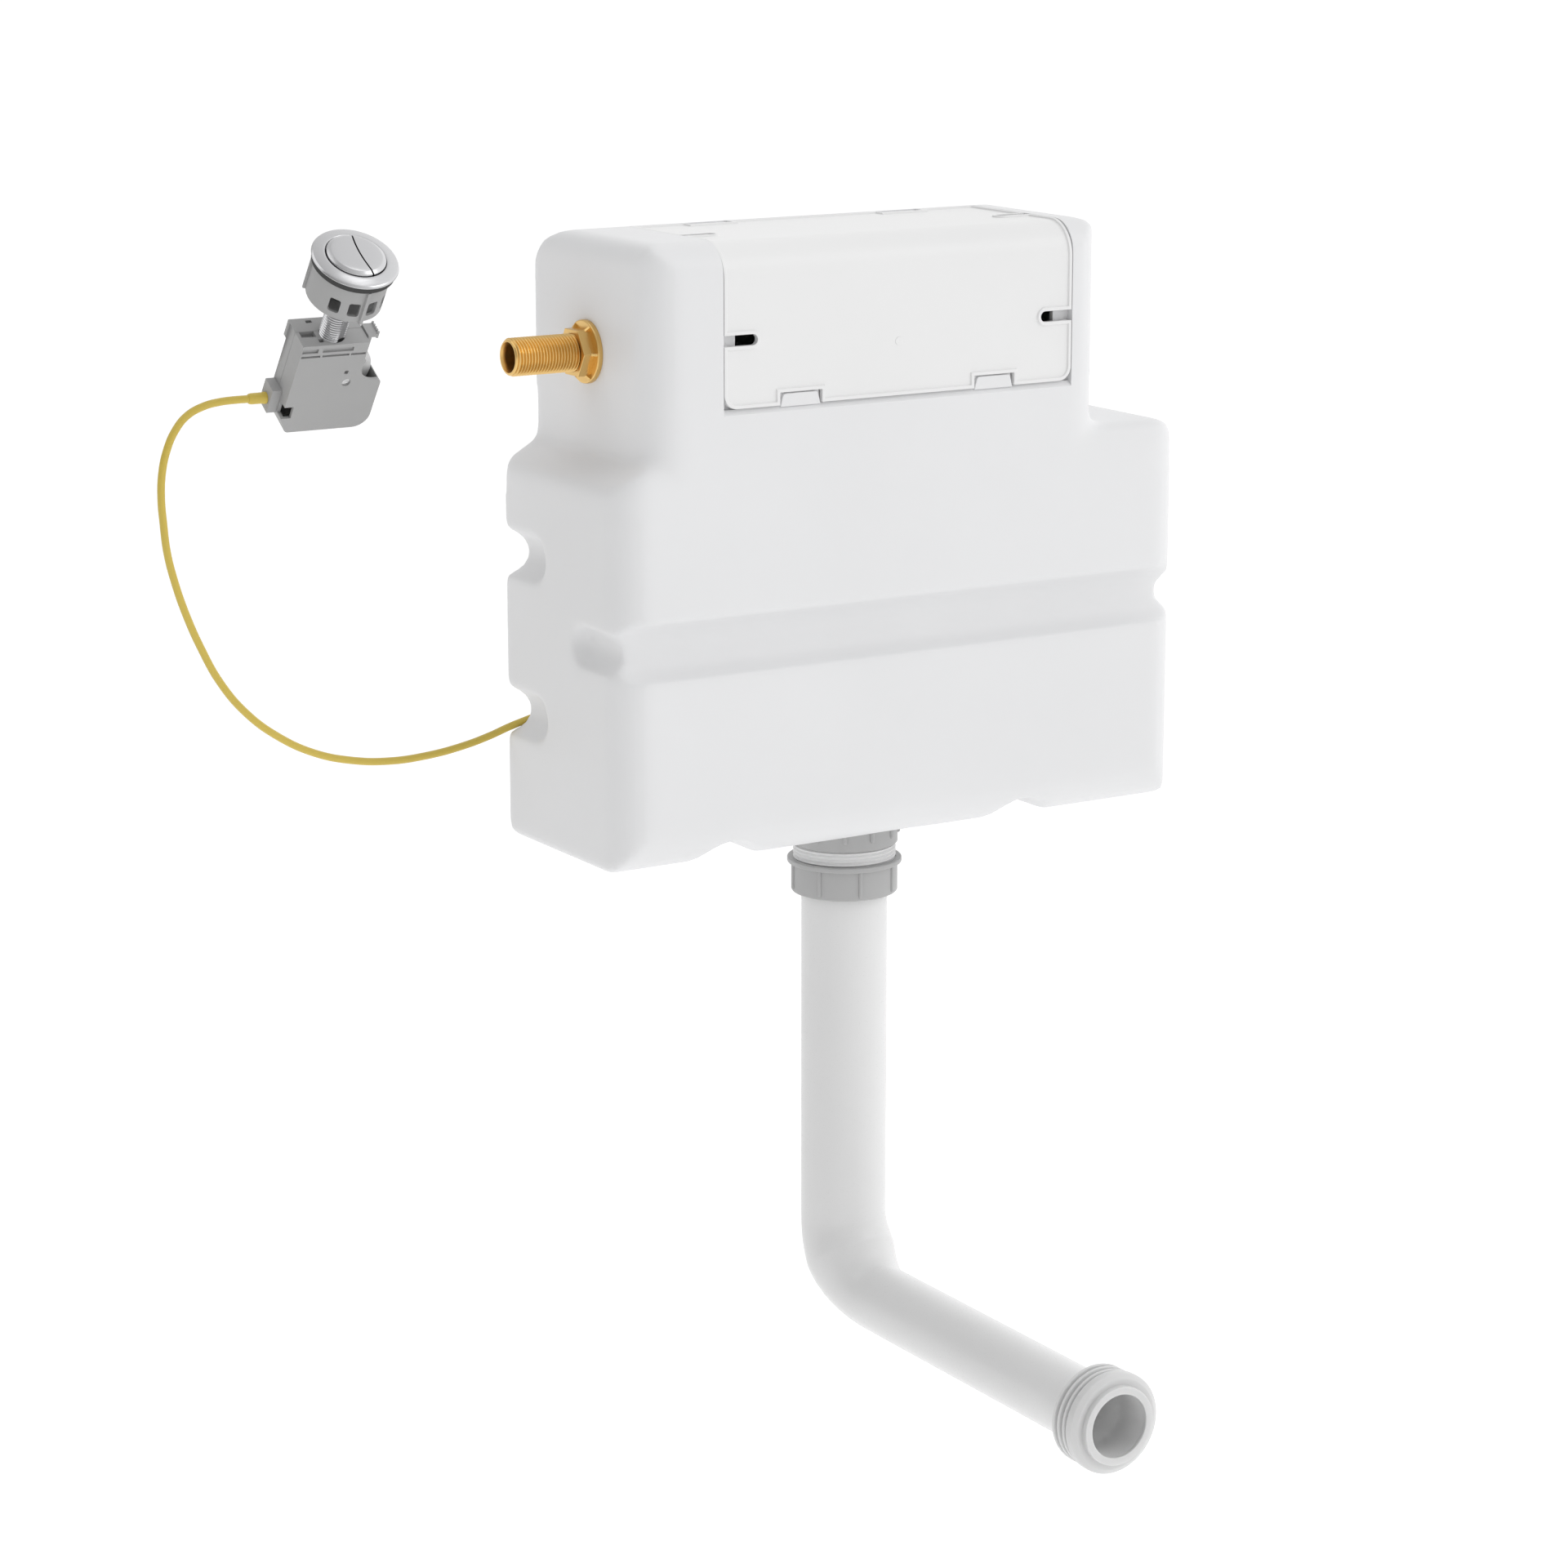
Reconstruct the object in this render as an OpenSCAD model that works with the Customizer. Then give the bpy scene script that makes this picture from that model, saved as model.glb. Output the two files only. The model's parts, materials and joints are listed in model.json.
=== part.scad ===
// Concealed dual-flush toilet cistern with side inlet, flush bend and cable-operated push button.
// Millimetres. X runs along the wall, Y points into the wall, Z is up.
// The origin lies on the wall, on the outlet's centre line, between the two rear grooves.

/* [Tank] */
// Overall width of the tank
tank_w = 375; // [360:1:400]
// Depth of the tank from the wall to its front
tank_d = 135; // [130:1:145]
// Height of the tank above the outlet's floor line
tank_h = 336.5; // [330:0.5:350]
// How far the base reaches below the outlet's floor line
base_drop = 6.5; // [4:0.5:8]
// Thickness of the moulded wall
tank_wall = 3.2; // [2.6:0.1:4]
// How far the upper part steps in on the left
left_step = 20.5; // [18:0.5:24]
// How far the upper part steps in on the right
right_step = 58; // [54:0.5:62]
// Depth of the shoulders below the top
shoulder_drop = 118; // [112.5:0.5:126.5]
// How far the left shoulder falls away
left_shoulder_fall = 11; // [8:0.5:14]
// Radius of the upright front edges
front_edge_r = 20; // [14:1:24]
// Radius of the upright rear edges
rear_edge_r = 10; // [7:1:14]
// Radius of the lower front edge
base_front_r = 25; // [18:1:28]
// Radius of the lower rear edge
base_rear_r = 16; // [10:1:20]
// Radius of the lower end edges
base_end_r = 6; // [5:0.5:12]
// Radius of the top front edge
top_front_r = 18; // [14:1:22]
// Radius of the top rear edge
top_rear_r = 34; // [28:1:36]
// Radius of the top end edges
top_end_r = 12; // [8:1:22]
// Radius of the right shoulder and of the shoulders' hollows
shoulder_r = 14; // [10:1:16]
// Radius of the left shoulder
left_shoulder_r = 8; // [6:0.5:12]
// Height of the outlet's floor line below the wall datum
datum_h = 112; // [106:1:118]

/* [Grooves] */
// Depth of the stiffening grooves
groove_depth = 13; // [10:0.5:15]
// Radius of the groove section
groove_r = 16.3; // [15.5:0.1:18]
// Height of the front groove
front_groove_h = 118; // [112:1:124]
// Height of the lower rear groove
low_groove_h = 67; // [62:1:70]
// Height of the upper rear groove
high_groove_h = 157; // [154:1:164]
// Reach of the front groove along the ends
front_groove_reach = 58; // [45:1:62]
// Reach of the rear grooves along the ends
rear_groove_reach = 42; // [34:1:46]
// Rise of the hollows under the base
base_hollow_rise = 12.5; // [9:0.5:14]
// Half width of the hollows under the base
base_hollow_half_w = 21; // [18:1:26]

/* [Access cover] */
// Distance from the upper left end to the cover recess
cover_left_margin = 45; // [40:1:50]
// Distance from the upper right end to the cover recess
cover_right_margin = 22.5; // [20:0.5:26]
// Height of the recess at the front
cover_drop = 91; // [86:1:94]
// Distance from the wall to the rear of the recess
cover_rear = 33; // [30:1:36]
// Depth of the recess
recess_depth = 5; // [4.6:0.1:6]
// Thickness of the cover
cover_t = 2.6; // [2.2:0.1:3.2]
// Gap round the cover
cover_gap = 1.6; // [1:0.1:2.2]
// Height of the bead round the cover
bead_h = 0.8; // [0.5:0.1:1.2]
// Width of the bead round the cover
bead_w = 2; // [1.4:0.1:3]
// Width of the ledge that the cover lies on
ledge_w = 10; // [8:0.5:12]
// Width of the snap notches
notch_w = 27; // [22:1:30]
// Width of the finger slots
slot_w = 6; // [4.5:0.5:7]
// Length of the finger slots
slot_len = 21; // [16:1:26]

/* [Inlet] */
// Distance of the inlet below the top
inlet_drop = 62.5; // [58:0.5:66]
// Outside diameter of the half-inch pipe thread
inlet_thread_d = 20.955; // [20.9:0.005:21]
// Pitch of the inlet thread
inlet_pitch = 1.814; // [1.6:0.002:2]
// Depth of the inlet thread
inlet_thread_depth = 1.1; // [0.8:0.1:1.2]
// Bore of the inlet
inlet_bore_d = 14.6; // [12:0.2:15]
// Length of the inlet outside the tank
inlet_len = 49; // [44:1:56]
// Diameter of the back nut's flange
inlet_flange_d = 34.8; // [32:0.2:37]
// Width across the flats of the back nut
inlet_nut_af = 25; // [24:0.5:27]
// Thickness of the back nut with its flange
inlet_nut_t = 10; // [8:0.5:12]

/* [Outlet and flush pipe] */
// Distance of the outlet from the wall
outlet_y = 66; // [64:0.5:68]
// Outside diameter of the two-inch outlet thread
outlet_thread_d = 59.6; // [59:0.1:60]
// Pitch of the outlet thread
outlet_pitch = 2.309; // [2:0.01:2.6]
// Outside diameter of the grey nuts
nut_d = 63.6; // [63.2:0.1:66]
// Height of the upper nut
back_nut_h = 20; // [16:0.5:20]
// Height of the coupling nut
coupling_nut_h = 20.2; // [19:0.1:22]
// Gap between the two nuts
nut_gap = 8.6; // [7:0.1:10]
// Outside diameter of the upright pipe
pipe_d = 50; // [49.6:0.1:50.2]
// Outside diameter of the level leg
leg_d = 40; // [38:0.5:42]
// Wall of the flush pipe
pipe_wall = 2.1; // [1.8:0.1:2.6]
// Distance of the level leg's axis below the base
pipe_drop = 289.5; // [280:0.5:300]
// Reach of the pipe in front of the outlet
pipe_reach = 275; // [265:1:285]
// Radius of the bend at its centre line
bend_r = 44; // [40:1:50]
// Diameter of the pan seal
pan_seal_d = 57.4; // [55:0.2:60]
// Length of the pan seal
pan_seal_l = 24; // [22:0.5:27]

/* [Fill valve] */
// Length of the fill valve's barrel
fill_barrel_l = 30; // [27:1:32]
// Diameter of the fill valve's barrel
fill_barrel_d = 25; // [24:0.5:26]
// Reach of the float arm
float_arm_l = 45; // [42:1:46]
// Diameter of the float
float_d = 40; // [34:1:42]
// Height of the float
float_h = 38; // [32:1:42]

/* [Flush valve] */
// Distance of the overflow below the top
overflow_drop = 111.5; // [108:0.5:116]
// Lift of the flush valve
valve_lift = 12; // [10:0.5:14]
// Outside diameter of the lift tube
lift_tube_d = 26; // [25:0.5:27]
// Outside diameter of the basket
basket_d = 77; // [75:0.5:79]
// Height of the basket above the base flange
basket_h = 130; // [124:1:136]

/* [Push button] */
// Place of the button's centre above the base
button_place = [-312.9, -82.1, 335.5];
// Lean of the button towards the front
button_lean = 35.5; // [30:0.5:40]
// Diameter of the bezel
bezel_d = 47; // [46.5:0.1:49]
// Thickness of the bezel
bezel_t = 4.2; // [3.6:0.1:4.8]
// Diameter of the push plate
button_d = 32; // [31:0.2:32.4]
// Gap along the split between the two push plates
button_gap = 0.8; // [0.6:0.1:1.2]
// Thickness of the panel gasket
gasket_t = 2.2; // [1.6:0.1:3]
// Diameter of the cup
cup_d = 41; // [40.4:0.1:42]
// Depth of the cup below the gasket
cup_h = 22; // [20:0.5:23]
// Outside diameter of the threaded stem
stem_d = 14.2; // [14:0.1:14.4]
// Length of stem that shows
stem_show = 25.4; // [23:0.2:27]
// Travel of the full-flush plate
full_travel = 9.5; // [9:0.1:9.6]
// Travel of the half-flush plate
half_travel = 4; // [3.5:0.1:4]

/* [Actuator] */
// Width of the case at its head
case_w = 39.1; // [38:0.1:40]
// Height of the case
case_h = 61.7; // [60:0.1:63]
// Depth of the case
case_d = 19; // [18.6:0.1:20]
// Wall of the case
case_wall = 1.8; // [1.4:0.1:2]
// Radius at which the cable lies on the drum
drum_r = 17.2; // [17:0.1:17.4]

/* [Cable] */
// Outside diameter of the cable's sheath
cable_d = 4.2; // [4:0.1:4.4]
// Diameter of the pull wire
wire_d = 1.4; // [1.2:0.1:1.6]

/* [Fits] */
// Gap between moving pieces
move_gap = 0.35; // [0.3:0.05:0.5]
// Radial clearance of a pin in its bore
pin_gap = 0.05; // [0.03:0.01:0.08]
// Clearance between fixed pieces
fit_gap = 0.1; // [0.05:0.05:0.2]

/* [Hidden] */
$fn = 48;
// Steps in each rounded corner of an outline
corner_steps = 5;
// Overlap that keeps cutters clear of the faces they cut
over = 1;
// Offset that keeps two outlines from sharing a plane
proud = 0.05;

half_w = tank_w / 2;
shoulder_h = tank_h - shoulder_drop;
upper_x0 = -half_w + left_step;
upper_x1 = half_w - right_step;
recess_x0 = upper_x0 + cover_left_margin;
recess_x1 = upper_x1 - cover_right_margin;
recess_z0 = tank_h - cover_drop;
recess_y1 = -cover_rear;
recess_floor_r = top_front_r - recess_depth;
cover_x0 = recess_x0 + cover_gap;
cover_x1 = recess_x1 - cover_gap;
cover_z0 = recess_z0 + cover_gap;
cover_y1 = recess_y1 - cover_gap;
cover_skin = cover_t + bead_h;
cover_seat = recess_depth - 0.3;
cover_lip = 4;
notch_x = [recess_x0 + 0.215 * (recess_x1 - recess_x0), recess_x0 + 0.77 * (recess_x1 - recess_x0)];
notch_h = 7;
tab_h = 2.4;
tab_w = notch_w - 8;
front_slot_z = tank_h - 53;
top_slot_y = -tank_d + 45;

groove_out = groove_r - groove_depth;
base_hollow_r = (pow(base_hollow_half_w, 2) + pow(base_hollow_rise, 2)) / (2 * base_hollow_rise);
base_hollow_x = [-113, 83];
channel_x = 75;
channel_w = 16;
channel_depth = 15;
channel_top = recess_z0 + 17;
wall_hole_r = 3;
wall_hole_x = [-80, 40];
wall_hole_z = tank_h - 48;

inlet_z = tank_h - inlet_drop;
inlet_r = inlet_thread_d / 2;
inlet_hole_r = inlet_r + 0.3;
inlet_in_x = upper_x0 + tank_wall;
inlet_washer_t = 2.5;
inlet_collar_t = 4;
inlet_collar_r = inlet_r + 5.5;
inlet_spigot_r = 8.9;
inlet_spigot_l = 10;
inlet_tail_x = inlet_in_x + inlet_washer_t + inlet_collar_t;
inlet_flange_t = 3;

seat_t = 2;
pocket_r = 52;
outlet_r = outlet_thread_d / 2;
outlet_hole_r = outlet_r + 0.5;
pipe_r = pipe_d / 2;
leg_r = leg_d / 2;
base_gasket_t = 3;
base_flange_t = 4;
base_flange_r = basket_d / 2 + 4;
seat_r = pipe_r - 1;
seat_h = 3;
base_z = tank_wall + base_gasket_t;
flange_z = base_z + base_flange_t;
seat_z = flange_z + seat_h;
back_nut_z = -seat_t - back_nut_h;
coupling_z1 = back_nut_z - nut_gap;
coupling_z0 = coupling_z1 - coupling_nut_h;
coupling_lip = 2.6;
pipe_seal_t = 4;
tail_z0 = coupling_z0 + coupling_lip + pipe_seal_t;
pipe_top_z = tail_z0 + 26;
nut_r = nut_d / 2;

fill_tail_x = inlet_tail_x + fill_barrel_l;
fill_barrel_r = fill_barrel_d / 2;
cap_wrap = 4;
cap_t = 7;
cap_r = fill_barrel_r + 2.4;
diaphragm_t = 2;
pivot_x = fill_tail_x + 11;
pivot_drop = 15;
pivot_z = inlet_z - pivot_drop;
float_swing = 10;
pad_gap = pivot_drop * sin(float_swing) + 0.4;
pivot_r = 1.5;
ear_w = 2.4;
arm_w = 6;
ear_gap = arm_w + 2 * move_gap;
rod_x = pivot_x + float_arm_l;
rod_r = 2.4;
float_z0 = pivot_z - 76;
fill_tube_x = inlet_tail_x + 18;
fill_tube_r = 6;
fill_boss_r = 8.5;
fill_boss_drop = 22;

overflow_z = tank_h - overflow_drop;
lift_r = lift_tube_d / 2;
lift_wall = 2.4;
seal_t = 3;
seal_z = seat_z + move_gap;
disc_t = 3;
disc_r = seat_r + 6;
basket_r = basket_d / 2;
basket_wall = 2.5;
basket_foot_h = 5;
port_h = 32;
basket_top = flange_z + basket_h;
guide_r = lift_r + 0.6;
tower_r = guide_r + 2.6;
tower_top = overflow_z - 20;
half_float_z = flange_z + 60;
half_float_h = 30;
half_float_r = basket_r - basket_wall - 5;
hook_bar_h = 4;
hook_h = 11;
hook_r = 5;
bridge_z = overflow_z + hook_h + valve_lift + 10;
bridge_t = 5;
arm_t = 4;
arm_y = 14;
end_ferrule_r = 3.2;
end_ferrule_flange_r = 4.6;
end_ferrule_z0 = bridge_z - 2;
end_ferrule_z1 = bridge_z + bridge_t + 14;

bezel_r = bezel_d / 2;
button_r = button_d / 2;
bezel_hole_r = button_r + move_gap;
skirt_r = cup_d / 2 - 2;
gasket_z = -bezel_t - gasket_t;
cup_z = gasket_z - cup_h;
cup_r = cup_d / 2;
cup_wall = 1.7;
cup_floor = 2.5;
fin_reach = 1.6;
fin_turn = -27.5;
stem_r = stem_d / 2;
stem_bore_r = 5.6;
stem_flange_r = 8.4;
stem_flange_t = 2;
stem_pitch = 1.5;
case_z1 = cup_z - stem_show;
case_z0 = case_z1 - case_h;
stem_z0 = case_z1 - 6.5;
plate_top = 2.4;
plate_under = -5;
split_x = 1.4;
split_r = 60;
rod_size = 1.6;
full_rod = [-0.6, 3.4];
half_rod = [3.3, -2.2];
spring_x = 12.2;
spring_coil_r = 3.1;
spring_wire_r = 0.4;
spring_curls = 7;

case_x0 = -case_w / 2 - 0.45;
case_x1 = case_x0 + case_w;
case_y0 = -8.7;
seam_y = 3;
case_y1 = case_y0 + case_d;
foot_x1 = case_x1 + 14;
case_top_t = 4;
head_y1 = case_y1 + 3.2;
head_h = 10.5;
pivot = [12.3, case_z1 - 28.2];
lever_pin_r = 2.5;
hub_r = 4.8;
drum_y0 = 1.2;
drum_y1 = 5.6;
half_y0 = -4.2;
half_y1 = -0.2;
drum_rim_r = drum_r + 0.9;
full_lean = 20;
half_lean = 12.5;
arm_half_t = 2.2;
full_rod_z = pivot[1] + 8.1;
half_rod_z = pivot[1] + 5;
wire_r = wire_d / 2;
wire_z = pivot[1] - drum_r - wire_r - 0.1;
wire_y = (drum_y0 + drum_y1) / 2;
cable_r = cable_d / 2;
anchor_x0 = case_x0 - 5.5;
ferrule_r = 3.3;
ferrule_l = 10.5;
cutout = [case_x1 + 12.9, case_z1 - 15.2, 12];

// Ends of the free cable: the tip of its ferrule, and the groove behind the tank
cable_start = [
    button_place[0] + anchor_x0 - ferrule_l,
    button_place[1] + wire_y * cos(button_lean) - wire_z * sin(button_lean),
    button_place[2] + wire_y * sin(button_lean) + wire_z * cos(button_lean) - datum_h
];
cable_end = [-half_w + 13.5, -7, low_groove_h - datum_h - 7.5];
// Points that the free cable passes through, measured from the wall datum
free_points = [
    [-348.9, -21.3, 144.1], [-356.9, -21.2, 144.1], [-364.9, -21, 143.7], [-374.5, -21, 142],
    [-384, -20.5, 137.5], [-391, -20.5, 130], [-396, -20.5, 120], [-399, -20.5, 108.5],
    [-400, -20.5, 95], [-399, -20, 81], [-397.5, -20, 66], [-393.5, -19.5, 49.5],
    [-387.5, -19, 31.5], [-379, -18, 12], [-368, -17.5, -8.5], [-353, -16.5, -27],
    [-334, -15.5, -42.5], [-312, -14.5, -54.5], [-289.5, -13.5, -61.5], [-266, -12.5, -65],
    [-242, -11.5, -65], [-218, -10, -62.5], [-200, -8.5, -59], [-187, -7.5, -55.5], [-174, -7, -52.5]
];
// The same points, drawn with the cable's ends wherever these lie
free_route = [for (i = [0 : len(free_points) - 1])
    let (t = i / (len(free_points) - 1))
    free_points[i] + (1 - t) * (cable_start - free_points[0])
        + t * (cable_end - free_points[len(free_points) - 1])];
// Route of the cable held behind and inside the tank
groove_z = low_groove_h - datum_h;
gland_z = channel_top - datum_h;
end_z = end_ferrule_z1 - datum_h;
held_route = [
    cable_end, [-160, -7, groove_z - 4.5], [-140, -7, groove_z - 2], [-115, -7, groove_z - 0.5],
    [-60, -7, groove_z], [0, -7, groove_z],
    [channel_x - 29, -7.5, groove_z], [channel_x - 18, -8, groove_z + 2],
    [channel_x - 9, -8.5, groove_z + 7], [channel_x - 3, -9, groove_z + 14], [channel_x, -9, groove_z + 23],
    [channel_x, -9, groove_z + 40], [channel_x, -9, gland_z - 90], [channel_x, -9, gland_z - 20],
    [channel_x, -9, gland_z + 14], [channel_x + 0.5, -10.5, gland_z + 24], [channel_x + 2, -15, gland_z + 33],
    [channel_x + 5, -24, gland_z + 40], [channel_x + 10, -36, gland_z + 43], [92, -51, gland_z + 41],
    [99, -68, gland_z + 35], [103, -84, gland_z + 28], [103.5, -99, gland_z + 22.5],
    [98.5, -111, gland_z + 21], [88, -117.8, gland_z + 21],
    [72, -116.5, gland_z + 23.5], [54, -109.5, gland_z + 30],
    [35, -outlet_y - 31, end_z + 22], [20, -outlet_y - 18, end_z + 25], [9, -outlet_y - 8.5, end_z + 22],
    [2.5, -outlet_y - 2.5, end_z + 14], [0, -outlet_y, end_z + 6], [0, -outlet_y, end_z]
];

// Unit vector of v
function unit(v) = v / norm(v);

// One corner of an outline as arc points: previous, corner and next points, radius
function corner_arc(a, b, c, r) =
    let (u = unit([a[0] - b[0], a[1] - b[1]]), v = unit([c[0] - b[0], c[1] - b[1]]))
    let (half = acos(u * v) / 2, mid = unit(u + v), centre = [b[0], b[1]] + mid * r / sin(half))
    let (turn = 180 - 2 * half, side = sign(u[0] * v[1] - u[1] * v[0]))
    let (start = [b[0], b[1]] + u * r / tan(half) - centre)
    [for (k = [0 : corner_steps]) let (t = side * turn * k / corner_steps)
        centre + [start[0] * cos(t) + start[1] * sin(t), start[1] * cos(t) - start[0] * sin(t)]];

// Outline from points [x, y, r], each corner rounded by its own radius
function rounded(p) = [
    for (i = [0 : len(p) - 1])
        let (a = p[(i + len(p) - 1) % len(p)], b = p[i], c = p[(i + 1) % len(p)])
        each (b[2] > 0 ? corner_arc(a, b, c, b[2]) : [[b[0], b[1]]])
];

// Faces of a closed tube made of ring_count rings of side_count points
function tube_faces(ring_count, side_count) = concat(
    [for (i = [0 : ring_count - 2], j = [0 : side_count - 1])
        let (a = i * side_count + j, b = i * side_count + (j + 1) % side_count)
        each [[a, b, a + side_count], [b, b + side_count, a + side_count]]],
    [for (j = [1 : side_count - 2]) [0, j + 1, j]],
    [for (j = [1 : side_count - 2])
        let (e = (ring_count - 1) * side_count) [e, e + j, e + j + 1]]
);

// Direction of a path at point i
function path_dir(p, i) = unit(p[min(i + 1, len(p) - 1)] - p[max(i - 1, 0)]);

// Side vectors carried along a path without twist
function side_vectors(p, first, i = 0, out = []) =
    i >= len(p) ? out :
    let (d = path_dir(p, i), s = i == 0 ? first : out[i - 1])
    side_vectors(p, first, i + 1, concat(out, [unit(s - d * (d * s))]));

// Points of a smooth curve through p, with n steps in each span
function smooth_path(p, n) = concat(
    [for (i = [0 : len(p) - 2], k = [0 : n - 1])
        let (t = k / n, a = p[max(i - 1, 0)], b = p[i], c = p[i + 1], d = p[min(i + 2, len(p) - 1)])
        0.5 * (2 * b + (c - a) * t + (2 * a - 5 * b + 4 * c - d) * pow(t, 2)
            + (3 * b - a - 3 * c + d) * pow(t, 3))],
    [p[len(p) - 1]]
);

// A round tube of radius r swept along the path p
module swept_tube(p, r, sides, first) {
    s = side_vectors(p, first);
    points = [for (i = [0 : len(p) - 1], j = [0 : sides - 1])
        let (d = path_dir(p, i), u = s[i], v = cross(d, u), a = -360 * j / sides)
        p[i] + r * (u * cos(a) + v * sin(a))];
    polyhedron(points, tube_faces(len(p), sides));
}

// Everything is drawn above the tank's base and then hung from the wall datum
module from_base() {
    translate([0, 0, -datum_h]) children();
}

module at_outlet() {
    from_base() translate([0, -outlet_y, 0]) children();
}

// Local z runs outwards along the inlet, from the upper left end of the tank
module at_inlet() {
    from_base() translate([upper_x0, -outlet_y, inlet_z]) rotate([0, -90, 0]) children();
}

module at_button() {
    from_base() translate(button_place) rotate([button_lean, 0, 0]) children();
}

// Extrudes an outline of (x, z) from y0 to y1
module along_y(y0, y1) {
    translate([0, y1, 0]) rotate([90, 0, 0]) linear_extrude(y1 - y0) children();
}

// Extrudes an outline of (y, z) from x0 to x1
module along_x(x0, x1) {
    translate([x0, 0, 0]) rotate([90, 0, 90]) linear_extrude(x1 - x0) children();
}

// A block between two corners
module block(a, b) {
    translate(a) cube(b - a);
}

// A ring about the z axis
module ring(outer, inner, z0, z1) {
    difference() {
        translate([0, 0, z0]) cylinder(r = outer, h = z1 - z0);
        translate([0, 0, z0 - over]) cylinder(r = inner, h = z1 - z0 + 2 * over);
    }
}

// Outline [radius, height] of a thread's outside, with flat crests, from z0 to z1
function thread_outline(r, depth, pitch, z0, z1) =
    let (n = floor((z1 - z0) / pitch))
    [for (k = [0 : n - 1], q = [[0, 0], [0.3, 0], [0.55, 1], [0.75, 1]])
        [r - depth * q[1], z0 + pitch * (k + q[0])]];

// Front outline of the tank, set in by i
function front_outline(i) = rounded([
    [-half_w + i - proud, i - base_drop, base_end_r - i], [half_w - i + proud, i - base_drop, base_end_r - i],
    [half_w - i + proud, shoulder_h - i, shoulder_r - i], [upper_x1 - i, shoulder_h - i, shoulder_r + i],
    [upper_x1 - i, tank_h - i, top_end_r - i], [upper_x0 + i, tank_h - i, top_end_r - i],
    [upper_x0 + i, shoulder_h - i / 2, shoulder_r + i],
    [-half_w + i - proud, shoulder_h - left_shoulder_fall - i / 2, left_shoulder_r - i]
]);

// Side outline of the tank, set in by i
function side_outline(i) = rounded([
    [-tank_d + i - proud, i - base_drop - proud, base_front_r - i],
    [-i + proud, i - base_drop - proud, base_rear_r - i],
    [-i + proud, tank_h - i + proud, top_rear_r - i],
    [-tank_d + i - proud, tank_h - i + proud, top_front_r - i]
]);

// Plan of a block of the tank between x0 and x1, set in by i
function plan_outline(x0, x1, i) = rounded([
    [x0 + i, -tank_d + i, front_edge_r - i], [x1 - i, -tank_d + i, front_edge_r - i],
    [x1 - i, -i, rear_edge_r - i], [x0 + i, -i, rear_edge_r - i]
]);

// A groove across one face, returned along both ends: face plane, inward sign, height, reach
module groove(face_y, side, h, reach, i) {
    r = groove_r + i;
    y = face_y - side * groove_out;
    translate([-half_w - over, y, h]) rotate([0, 90, 0]) cylinder(r = r, h = tank_w + 2 * over);
    for (x = [-half_w - groove_out, half_w + groove_out]) {
        translate([x, side > 0 ? y - over : y - reach, h])
            rotate([-90, 0, 0]) cylinder(r = r, h = reach + over);
        translate([x, y + side * reach, h]) sphere(r = r - proud);
    }
}

// What lies behind the bent floor of the cover recess, set in by i
module behind_recess(i) {
    along_x(recess_x0 - tank_wall - over, recess_x1 + tank_wall + over) polygon(rounded([
        [-tank_d + recess_depth + i, 0, 0], [over, 0, 0], [over, tank_h - recess_depth - i, 0],
        [-tank_d + recess_depth + i, tank_h - recess_depth - i, recess_floor_r - i]
    ]));
}

// The space that the cover takes out of the tank, set in by i
module recess(i) {
    difference() {
        block([recess_x0 - i, -tank_d - over, recess_z0 - i], [recess_x1 + i, recess_y1 + i, tank_h + over]);
        behind_recess(i);
    }
}

// The tank's form, set in by i, with its grooves, cable channel and cover recess
module tank_form(i) {
    split_z = shoulder_h + 26;
    difference() {
        intersection() {
            along_y(-tank_d - over, over) polygon(front_outline(i));
            along_x(-half_w - over, half_w + over) polygon(side_outline(i));
            union() {
                translate([0, 0, -base_drop - over]) linear_extrude(split_z + base_drop + over)
                    polygon(plan_outline(-half_w, half_w, i));
                translate([0, 0, split_z - over]) linear_extrude(tank_h - split_z + 2 * over)
                    polygon(plan_outline(upper_x0, upper_x1, i));
            }
        }
        groove(-tank_d, 1, front_groove_h, front_groove_reach, i);
        groove(0, -1, low_groove_h, rear_groove_reach, i);
        groove(0, -1, high_groove_h, rear_groove_reach, i);
        for (x = base_hollow_x)
            translate([x, over, base_hollow_rise - base_drop - base_hollow_r])
                rotate([90, 0, 0]) cylinder(r = base_hollow_r + i, h = tank_d + 2 * over, $fn = 96);
        block(
            [channel_x - channel_w / 2 - i, -channel_depth - i, low_groove_h],
            [channel_x + channel_w / 2 + i, over, channel_top + i]
        );
        recess(i);
    }
}

// Snap tabs on the recess floor, under the notches of the cover
module cover_tabs() {
    for (x = notch_x) {
        block(
            [x - tab_w / 2, -tank_d + recess_depth - tab_h, recess_z0 + proud],
            [x + tab_w / 2, -tank_d + recess_depth + tank_wall / 2, recess_z0 + 5]
        );
        block(
            [x - tab_w / 2, recess_y1 - 5, tank_h - recess_depth - tank_wall / 2],
            [x + tab_w / 2, recess_y1 - proud, tank_h - recess_depth + tab_h]
        );
    }
}

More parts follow.
